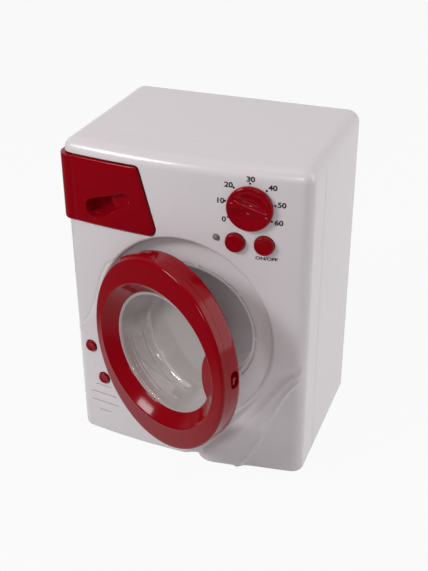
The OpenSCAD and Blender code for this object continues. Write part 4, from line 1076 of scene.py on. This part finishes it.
def cutter_block(low, high, round_r):
    """A block for cutting, with its upright outline rounded in the Y-Z plane."""
    loop = rounded_box(low[1], high[1], low[2], high[2], max(round_r, 0.01), 8)
    skin = Skin()
    skin.capped([np.column_stack([np.full(len(loop), x), loop]) for x in (low[0], high[0])])
    obj = bpy.data.objects.new("cutter", skin.mesh("cutter", 0.0001))
    bpy.context.scene.collection.objects.link(obj)
    return obj


def carve(obj, cutters):
    """Cuts the cutters out of the object and applies the result."""
    for cutter in cutters:
        modifier = obj.modifiers.new("cut", "BOOLEAN")
        modifier.operation = "DIFFERENCE"
        modifier.solver = "EXACT"
        modifier.object = cutter
    bpy.context.view_layer.update()
    shaped = bpy.data.meshes.new_from_object(obj.evaluated_get(bpy.context.evaluated_depsgraph_get()))
    obj.modifiers.clear()
    material = obj.data.materials[0]
    obj.data = shaped
    shaped.materials.clear()
    shaped.materials.append(material)
    for cutter in cutters:
        bpy.data.objects.remove(cutter)


def with_rings(profile, heights):
    """The bowl's outside profile with a low moulded ring at each height."""
    fine = resample(np.array(profile, float), 0.4, closed=False)
    on_wall = smooth_step((fine[:, 0] - WINDOW_R + 11) / 2)
    for height in heights:
        fine[:, 0] += 0.7 * on_wall * np.exp(-(((fine[:, 1] - height) / 0.55) ** 2))
    return [tuple(p) for p in fine]


def window():
    """Clear bowl: flange, tapered wall and a slightly domed end."""
    at = Matrix.Translation((DOOR_X, DOOR_BACK_Y - WINDOW_DEPTH, DOOR_Z))
    place = at @ Matrix.Rotation(-math.pi / 2, 4, "X")
    t = 1.5
    top_r, low_r = WINDOW_R - 1.0, WINDOW_R - 7.0
    outside = rounded([(top_r + 1.2, 0.1), (top_r + 1.2, t), (top_r + 0.2, t), (low_r + 0.4, BOWL_DEPTH - 0.9),
                       (low_r * 0.5, BOWL_DEPTH - 0.2), (0, BOWL_DEPTH)], 4.5, 8)
    within = rounded([(0, BOWL_DEPTH - t), (low_r * 0.5, BOWL_DEPTH - t - 0.2),
                      (low_r - 1.1, BOWL_DEPTH - t - 0.9), (top_r - t, 0.1), (top_r + 1.2, 0.1)], 4.0, 8)
    outside = with_rings(outside, (4.5, 9.5, BOWL_DEPTH - 6.5))
    obj = turned("door_bowl", outside + within, place, WINDOW, "door", 160, 50)
    hang(obj)
    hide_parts("door_window")


def hinge_ear():
    """Fixed arm of the hinge, from the recess wall to its barrel."""
    barrel_r, half = 2.4, 6.0
    x, y = HINGE
    root_x, root_y = -RECESS_RX - 1, RECESS_FLOOR_Y + 0.5
    plan = np.concatenate([
        arc(x, y, barrel_r, -150, 0, 14),
        [[x + barrel_r, root_y], [root_x, root_y], [root_x, y + 8.0]],
        [[root_x, y + 6.4], [x - barrel_r * 0.95, y + 0.6]],
    ])
    middle = plan.mean(0)
    edge = ((0, 0.4), (0.12, 0.12), (0.4, 0))
    levels = [(-half + rise, inset) for rise, inset in edge]
    levels += [(half - rise, inset) for rise, inset in reversed(edge)]
    rows = []
    for z, inset in levels:
        loop = shrunk(plan, middle, inset)
        rows.append(np.column_stack([loop, np.full(len(loop), DOOR_Z + z)]))
    skin = Skin()
    skin.capped(rows)
    weigh_normals(skin.build("hinge_ear", WHITE, "casing", 45))


# Drawer


def pocket_depth(s, z):
    """Finger scoop: a deep round end, and a floor that ramps up towards the right."""
    deep_at, shallow_at = np.array(SCOOP_DEEP_AT), np.array(SCOOP_SHALLOW_AT)
    way = shallow_at - deep_at
    points = np.column_stack([s, z]) - deep_at
    t = np.clip(points @ way / (way @ way), 0, 1)
    radius = SCOOP_R - SCOOP_TAPER * t
    edge = radius - np.hypot(*(points - t[:, None] * way).T)
    floor = SCOOP_SHALLOW + SCOOP_DROP * (1 - smooth_step((t - 0.08) / 0.6))
    clear_of_sleeve = 5.0 + 7.0 * smooth_step((z - 188.6) / 1.6)
    floor = np.minimum(floor, clear_of_sleeve)
    wall = smooth_step(edge / 1.7)
    roll = 0.25 * np.exp(-((edge + 0.8) / 1.4) ** 2)
    return floor * wall + roll


def drawer_height(s, z, loop):
    """How far the drawer's front stands out of the casing's surface."""
    points = np.column_stack([s, z])
    edge = distance_to(points, loop)
    fillet = 1.1
    short = np.clip(fillet - edge, 0, fillet)
    height = DRAWER_PROUD - fillet + np.sqrt(np.maximum(fillet**2 - short**2, 0))
    lean = (DRAWER_LOW_X - DRAWER_TOP_X) / (DRAWER_TOP - DRAWER_BOTTOM)
    left = s - (FRONT.starts[2] + 1.5)
    top = (DRAWER_TOP - 2.6) - z
    right = DRAWER_TOP_X - 2.2 - lean * (z - DRAWER_TOP) - s
    panel = np.minimum(np.minimum(left, top), right)
    height = height + 0.55 * smooth_step((panel + 0.2) / 1.1) - 0.25
    return height + DRAWER_SIDE_SWELL * smooth_step((FRONT.starts[2] + 2 - s) / 6)


def drawer_front():
    skin = Skin()
    loop = drawer_loop(0, 1.2)
    s_low, s_high = loop[:, 0].min(), loop[:, 0].max()
    s, z = np.meshgrid(np.arange(s_low, s_high, 1.5), np.arange(DRAWER_BOTTOM, DRAWER_TOP, 1.5))
    coarse = np.column_stack([s.ravel(), z.ravel()])
    (left, right), (low, high) = SCOOP_SIDES, SCOOP_HEIGHTS
    in_scoop = (coarse[:, 0] > left) & (coarse[:, 0] < right) & (coarse[:, 1] > low) & (coarse[:, 1] < high)
    s, z = np.meshgrid(np.arange(left, right, 0.55), np.arange(low, high, 0.55))
    fine = np.column_stack([s.ravel(), z.ravel()])
    borders = [drawer_loop(-g, 1.2) for g in (0.25, 0.6, 1.1, 1.6)]
    s_left = FRONT.starts[2] + 1.5
    bands = [np.column_stack([np.full(60, s_left + d), np.linspace(DRAWER_BOTTOM + 2, DRAWER_TOP - 2, 60)])
             for d in (-0.4, 0, 0.4, 0.8, 1.2)]
    fill = np.concatenate([coarse[~in_scoop], fine] + borders + bands)
    flat, triangles, rows = triangulate(loop, [], fill, 0.2)
    lift = drawer_height(flat[:, 0], flat[:, 1], loop) - pocket_depth(flat[:, 0], flat[:, 1])
    index = skin.add(casing_points(FRONT, flat[:, 0], flat[:, 1], drop=-lift))
    skin.faces += [tuple(index[i] for i in t) for t in triangles]
    edge = drawer_height(loop[:, 0], loop[:, 1], loop)
    sides = []
    for k in (0, 0.15, 1):
        sides.append(casing_points(FRONT, loop[:, 0], loop[:, 1], drop=-edge * (1 - k) + 1.2 * k))
    added = skin.rows(sides, closed=True)
    back_loop = drawer_loop(-1.5, 2.5)
    flat, triangles, _ = triangulate(back_loop, [], coarse, 0.4)
    index = skin.add(casing_points(FRONT, flat[:, 0], flat[:, 1], drop=1.2))
    middles = flat[triangles].mean(1)
    scoop = pocket_depth(middles[:, 0], middles[:, 1]) > 0.02
    skin.faces += [tuple(index[i] for i in t) for t, hidden in zip(triangles, scoop) if not hidden]
    obj = skin.build("drawer_face", RED, "drawer", 50)
    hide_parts("drawer_front")
    drawer_neck()


def drawer_neck():
    """Block that joins the drawer's face to its tray, round the finger scoop."""
    x0, x1 = 11.0 - HALF_W, DRAWER_TOP_X - 8.5
    z0, z1 = DRAWER_BOTTOM + 6.9, DRAWER_TOP - 11.8
    loop = rounded_box(x0, x1, z0, z1, 1.2, 5)
    skin = Skin()
    added = skin.rows([at_depth(loop, y) for y in (-62.4, -60, -52.2, -52.0)], closed=True)
    skin.face(added[-1])
    weigh_normals(skin.build("drawer_neck", RED, "drawer", 40))


# Knob and buttons


def knob():
    """Low dial knob: a bar across it between two dished halves inside a thin rim."""
    skin = Skin()
    angles = np.linspace(0, 2 * math.pi, 240, endpoint=False)
    radii = np.concatenate([np.linspace(0.4, 13.4, 44), [13.7, 14.0]])
    rows = []
    top = KNOB_H - 0.4
    for r in radii:
        p, q = r * np.cos(angles), r * np.sin(angles)
        side = np.abs(q)
        slope = smooth_step((side - 1.7) / 2.4)
        bowl = 2.0 * slope * (1 - 0.6 * smooth_step((side - 4.0) / 10.0))
        rim = smooth_step((14.6 - r) / 8.0)
        ends = smooth_step((13.9 - np.abs(p)) / 1.6)
        bar = 0.3 * (1 - smooth_step((side - 0.9) / 1.8)) * ends
        rows.append((p, q, top - bowl * rim + bar))
    for a in np.radians(np.linspace(15, 90, 6)):
        r = 14.1 + 1.4 * math.sin(a)
        rows.append((r * np.cos(angles), r * np.sin(angles), np.full(240, top - 1.4 + 1.4 * math.cos(a))))
    for height in (1.6, 0.9):
        rows.append((KNOB_R * np.cos(angles), KNOB_R * np.sin(angles), np.full(240, height)))
    rows.append(((KNOB_R - 0.4) * np.cos(angles), (KNOB_R - 0.4) * np.sin(angles), np.full(240, 0.6)))
    rows.append((4 * np.cos(angles), 4 * np.sin(angles), np.full(240, 0.6)))
    place = on_front(KNOB_X, KNOB_Z) @ Matrix.Rotation(math.radians(KNOB_REST), 4, "Z")
    placed = [[tuple(place @ Vector(c)) for c in zip(*row)] for row in rows]
    added = skin.rows(placed, closed=True)
    skin.face(added[0])
    obj = skin.build("knob_cap", RED, "knob", 50)
    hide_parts("timer_knob")
    # Pale red spots on both ends of the bar: painted highlights.
    for end, side in (("left", -1), ("right", 1)):
        glint_skin = Skin()
        middle = side * 12.2
        loop = np.concatenate([arc(middle + 0.45, 0, 0.4, -90, 90, 8), arc(middle - 0.45, 0, 0.4, 90, 270, 8)])
        ring = [[tuple(place @ Vector((x, y, h))) for x, y in loop] for h in (top + 0.3, top + 0.47)]
        added = glint_skin.rows(ring, closed=True)
        glint_skin.face(added[-1])
        glint_skin.build("knob_painted_highlight_" + end, KNOB_END_HIGHLIGHT, "knob", 50)


def push_button(name, x, z, r, proud, body, node):
    """Cap with a rounded edge, a dished top, a flange inside the casing and a stem to its CAD node's end."""
    place = on_front(x, z)
    rim = r * 0.22
    profile = [(0, proud - 0.45), (r * 0.5, proud - 0.42), (r - rim * 1.9, proud - 0.34)]
    profile += [(r - rim * 1.5, proud - 0.12), (r - rim * 1.2, proud - 0.02)]
    for a in np.radians(np.linspace(0, 90, 9)):
        profile.append((r - rim + rim * math.sin(a), proud - rim + rim * math.cos(a)))
    stem_r = 2.0
    stem_end = float(front_y(x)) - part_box(node)[1][1] / MM + 0.3
    flange_top, flange_end = -WALL - 0.8, -WALL - 1.5
    profile += [(r, flange_top), (r + 1.0, flange_top), (r + 1.0, flange_end), (stem_r, flange_end)]
    profile += [(stem_r, stem_end), (0, stem_end)]
    obj = turned(name, profile, place, RED, body, 72, 50)
    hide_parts(node)


# Printed dial


def printed(name, words, x, z, size, stretch=1.0, bold=0.0):
    """Flat lettering wrapped on the front, standing a hair proud of it."""
    curve = bpy.data.curves.new(name, "FONT")
    curve.body = words
    curve.align_x = "CENTER"
    curve.align_y = "CENTER"
    curve.size = size
    curve.offset = bold
    curve.resolution_u = 6
    text = bpy.data.objects.new(name + "_outline", curve)
    bpy.context.scene.collection.objects.link(text)
    bpy.context.view_layer.update()
    mesh = bpy.data.meshes.new_from_object(text.evaluated_get(bpy.context.evaluated_depsgraph_get()))
    bpy.data.objects.remove(text)
    bm = bmesh.new()
    bm.from_mesh(mesh)
    bmesh.ops.triangulate(bm, faces=bm.faces)
    for vertex in bm.verts:
        px = x + vertex.co.x * stretch
        vertex.co = Vector((px, float(front_y(px)) - INK_LIFT, z + vertex.co.y)) * MM
    bm.to_mesh(mesh)
    bm.free()
    return finish_piece(name, mesh, INK, "casing", 35)


DIAL_R = 16.75
DIAL_CENTRE = (48.8, 212.4)
INK_LIFT = 0.06
NUMERALS = {0: (31.6, 202.0), 10: (29.0, 215.0), 20: (34.7, 226.7), 30: (49.1, 231.9), 40: (63.5, 227.3),
            50: (69.5, 215.9), 60: (67.9, 203.3)}


def dial_dots():
    """The seven dots between the numbers and the knob, as one Geometry Nodes row wrapped on the front."""
    group = bpy.data.node_groups.new("dial_dots", "GeometryNodeTree")
    group.interface.new_socket("Geometry", in_out="OUTPUT", socket_type="NodeSocketGeometry")
    settings = {"Count": len(NUMERALS), "Dial Radius": DIAL_R * MM, "Dot Radius": 0.78 * MM,
                "Start Angle": math.radians(210), "Sweep Angle": math.radians(-240)}
    for name in settings:
        kind = "NodeSocketInt" if name == "Count" else "NodeSocketFloat"
        socket = group.interface.new_socket(name, in_out="INPUT", socket_type=kind)
        socket.default_value = settings[name]
    nodes, links = group.nodes, group.links
    given = nodes.new("NodeGroupInput")
    path = nodes.new("GeometryNodeCurveArc")
    links.new(given.outputs["Count"], path.inputs["Resolution"])
    links.new(given.outputs["Dial Radius"], path.inputs["Radius"])
    links.new(given.outputs["Start Angle"], path.inputs["Start Angle"])
    links.new(given.outputs["Sweep Angle"], path.inputs["Sweep Angle"])
    spots = nodes.new("GeometryNodeCurveToPoints")
    spots.mode = "EVALUATED"
    links.new(path.outputs["Curve"], spots.inputs["Curve"])
    dot = nodes.new("GeometryNodeMeshCircle")
    dot.fill_type = "NGON"
    dot.inputs["Vertices"].default_value = 20
    links.new(given.outputs["Dot Radius"], dot.inputs["Radius"])
    copies = nodes.new("GeometryNodeInstanceOnPoints")
    links.new(spots.outputs["Points"], copies.inputs["Points"])
    links.new(dot.outputs["Mesh"], copies.inputs["Instance"])
    real = nodes.new("GeometryNodeRealizeInstances")
    links.new(copies.outputs["Instances"], real.inputs["Geometry"])
    inked = nodes.new("GeometryNodeSetMaterial")
    inked.inputs["Material"].default_value = INK
    links.new(real.outputs["Geometry"], inked.inputs["Geometry"])
    result = nodes.new("NodeGroupOutput")
    links.new(inked.outputs["Geometry"], result.inputs["Geometry"])
    blank = bpy.data.objects.new("dial_dots_source", bpy.data.meshes.new("dial_dots_source"))
    bpy.context.scene.collection.objects.link(blank)
    blank.modifiers.new("dots", "NODES").node_group = group
    bpy.context.view_layer.update()
    mesh = bpy.data.meshes.new_from_object(blank.evaluated_get(bpy.context.evaluated_depsgraph_get()))
    bpy.data.objects.remove(blank)
    for vertex in mesh.vertices:
        px = DIAL_CENTRE[0] + vertex.co.x / MM
        pz = DIAL_CENTRE[1] + vertex.co.y / MM
        vertex.co = Vector((px, float(front_y(px)) - INK_LIFT, pz)) * MM
    finish_piece("dial_dots", mesh, INK, "casing", 35)


def dial():
    for value, (x, z) in NUMERALS.items():
        printed(f"numeral_{value}", str(value), x, z, 5.0, 1.14, 0.17)
    dial_dots()
    printed("on_off_label", "ON/OFF", 60.4, 176.6, 3.1, 1.32, 0.12)


# Studio

STUDIO_AIM = (0, 0, 0.12)
STUDIO_LAMPS = {
    "main": ((-0.80, -0.98, 1.0), (0.5, 0.32), 11.8),
    "top": ((0.1, -0.2, 1.6), (0.9, 0.7), 2),
    "right": ((1.35, 0.4, 0.6), (1.0, 1.2), 8.8),
    "front": ((0.35, -1.4, 0.9), (0.4, 0.3), 4),
}


def make_camera():
    """The photograph's camera, solved from the casing's edges."""
    at = Vector((231.56, -609.64, 479.42)) * MM
    azimuth, elevation, roll = (math.radians(v) for v in (20.90, 29.49, -0.35))
    level_reach = math.cos(elevation)
    look = Vector((-math.sin(azimuth) * level_reach, math.cos(azimuth) * level_reach, -math.sin(elevation)))
    level = Vector((math.cos(azimuth), math.sin(azimuth), 0))
    over = level.cross(look)
    right = math.cos(roll) * level + math.sin(roll) * over
    up = -math.sin(roll) * level + math.cos(roll) * over
    camera = bpy.data.objects.new("camera", bpy.data.cameras.new("camera"))
    camera.data.lens = 62.0
    camera.data.sensor_width = 36
    camera.data.clip_end = 20
    camera.matrix_world = Matrix.Translation(at) @ Matrix((right, up, -look)).transposed().to_4x4()
    bpy.context.scene.collection.objects.link(camera)
    bpy.context.scene.camera = camera


def area_light(name, at, size, power):
    """A rectangular lamp that points at the middle of the casing."""
    data = bpy.data.lights.new(name, "AREA")
    data.shape = "RECTANGLE"
    data.size, data.size_y = size
    data.energy = power
    light = bpy.data.objects.new(name, data)
    light.location = at
    light.rotation_euler = (Vector(STUDIO_AIM) - Vector(at)).to_track_quat("-Z", "Y").to_euler()
    bpy.context.scene.collection.objects.link(light)


def plain_to_camera(nodes, links, strength):
    """1 for camera and transmission rays, which see plain white, and the given strength for mirror rays."""
    path = nodes.new("ShaderNodeLightPath")
    direct = add_node(nodes, "ShaderNodeMath", operation="MAXIMUM")
    links.new(path.outputs["Is Camera Ray"], direct.inputs[0])
    links.new(path.outputs["Is Transmission Ray"], direct.inputs[1])
    whole = add_node(nodes, "ShaderNodeMath", operation="MAXIMUM")
    links.new(direct.outputs[0], whole.inputs[0])
    links.new(strength, whole.inputs[1])
    return whole.outputs[0]


def seen_by_camera_or_mirror(nodes, links):
    """1 for camera, glossy and transmission rays. Mirrors see the backdrop dimmer in front and at the left."""
    path = nodes.new("ShaderNodeLightPath")
    total = add_node(nodes, "ShaderNodeMath", operation="ADD")
    links.new(path.outputs["Is Camera Ray"], total.inputs[0])
    links.new(path.outputs["Is Glossy Ray"], total.inputs[1])
    with_clear = add_node(nodes, "ShaderNodeMath", operation="ADD", use_clamp=True)
    links.new(total.outputs[0], with_clear.inputs[0])
    links.new(path.outputs["Is Transmission Ray"], with_clear.inputs[1])
    return with_clear.outputs[0]


def ramp(nodes, start, end, least):
    """A soft rise from the least strength at the start to 1 at the end."""
    values = {"From Min": start, "From Max": end, "To Min": least}
    return add_node(nodes, "ShaderNodeMapRange", values, interpolation_type="SMOOTHSTEP")


def soft_world():
    """Soft light from all round, behind which rays that look at it directly see the backdrop."""
    world = bpy.data.worlds.new("studio")
    bpy.context.scene.world = world
    world.use_nodes = True
    nodes, links = world.node_tree.nodes, world.node_tree.links
    soft = nodes["Background"]
    soft.inputs["Color"].default_value = (1, 0.86, 0.86, 1)
    soft.inputs["Strength"].default_value = 0.32
    coords = nodes.new("ShaderNodeTexCoord")
    split = nodes.new("ShaderNodeSeparateXYZ")
    behind = ramp(nodes, -0.1, 0.5, 0.05)
    seen = add_node(nodes, "ShaderNodeBackground", {"Color": (0.97, 0.97, 0.97, 1)})
    pick = nodes.new("ShaderNodeMixShader")
    links.new(coords.outputs["Generated"], split.inputs[0])
    links.new(split.outputs["Y"], behind.inputs["Value"])
    links.new(plain_to_camera(nodes, links, behind.outputs["Result"]), seen.inputs["Strength"])
    links.new(seen_by_camera_or_mirror(nodes, links), pick.inputs[0])
    links.new(soft.outputs[0], pick.inputs[1])
    links.new(seen.outputs[0], pick.inputs[2])
    links.new(pick.outputs[0], nodes["World Output"].inputs["Surface"])


def floor_material():
    """White to the camera, with the object's shadow, and grey to the light that it throws back."""
    material, nodes, links = new_material("floor")
    shader = nodes["Principled BSDF"]
    shader.inputs["Base Color"].default_value = (0.45, 0.45, 0.45, 1)
    shader.inputs["Roughness"].default_value = 0.8
    glow = nodes.new("ShaderNodeEmission")
    coords = nodes.new("ShaderNodeTexCoord")
    split = nodes.new("ShaderNodeSeparateXYZ")
    reach_forward = ramp(nodes, -0.4, -0.1, 0.05)
    past_left = add_node(nodes, "ShaderNodeVectorMath", {1: (-0.837, -0.547, 0)}, operation="DOT_PRODUCT")
    reach_left = ramp(nodes, 0.28, 0.18, 0.15)
    sheet = add_node(nodes, "ShaderNodeMath", operation="MULTIPLY")
    share = add_node(nodes, "ShaderNodeMath", {1: 0.93}, operation="MULTIPLY")
    pick = nodes.new("ShaderNodeMixShader")
    links.new(coords.outputs["Object"], split.inputs[0])
    links.new(split.outputs["Y"], reach_forward.inputs["Value"])
    links.new(coords.outputs["Object"], past_left.inputs[0])
    links.new(past_left.outputs["Value"], reach_left.inputs["Value"])
    links.new(reach_forward.outputs["Result"], sheet.inputs[0])
    links.new(reach_left.outputs["Result"], sheet.inputs[1])
    links.new(plain_to_camera(nodes, links, sheet.outputs[0]), glow.inputs["Strength"])
    links.new(seen_by_camera_or_mirror(nodes, links), share.inputs[0])
    links.new(share.outputs[0], pick.inputs[0])
    links.new(shader.outputs[0], pick.inputs[1])
    links.new(glow.outputs[0], pick.inputs[2])
    links.new(pick.outputs[0], nodes["Material Output"].inputs["Surface"])
    return material


def studio():
    soft_world()
    reach = 6.0
    corners = [(-reach, -reach, 0), (reach, -reach, 0), (reach, reach, 0), (-reach, reach, 0)]
    mesh = bpy.data.meshes.new("floor")
    mesh.from_pydata(corners, [], [(0, 1, 2, 3)])
    mesh.materials.append(floor_material())
    floor = bpy.data.objects.new("floor", mesh)
    bpy.context.scene.collection.objects.link(floor)
    for name, (at, size, power) in STUDIO_LAMPS.items():
        area_light(name, at, size, power)
    bpy.context.scene.view_settings.view_transform = "Standard"


def main():
    make_camera()
    studio()
    paint_nodes()
    front_shell()
    rear_shell()
    hinge_ear()
    front_ring()
    rear_ring()
    window()
    drawer_front()
    knob()
    push_button("start_cap", START_X, BUTTON_Z, BUTTON_R, 3.2, "start_push", "start_button")
    push_button("power_cap", POWER_X, BUTTON_Z, BUTTON_R, 3.2, "power_push", "power_button")
    push_button("upper_cap", *UPPER_AT, LOW_BUTTON_R, 1.8, "upper_push", "upper_button")
    push_button("lower_cap", *LOWER_AT, LOW_BUTTON_R, 1.8, "lower_push", "lower_button")
    dial()


main()
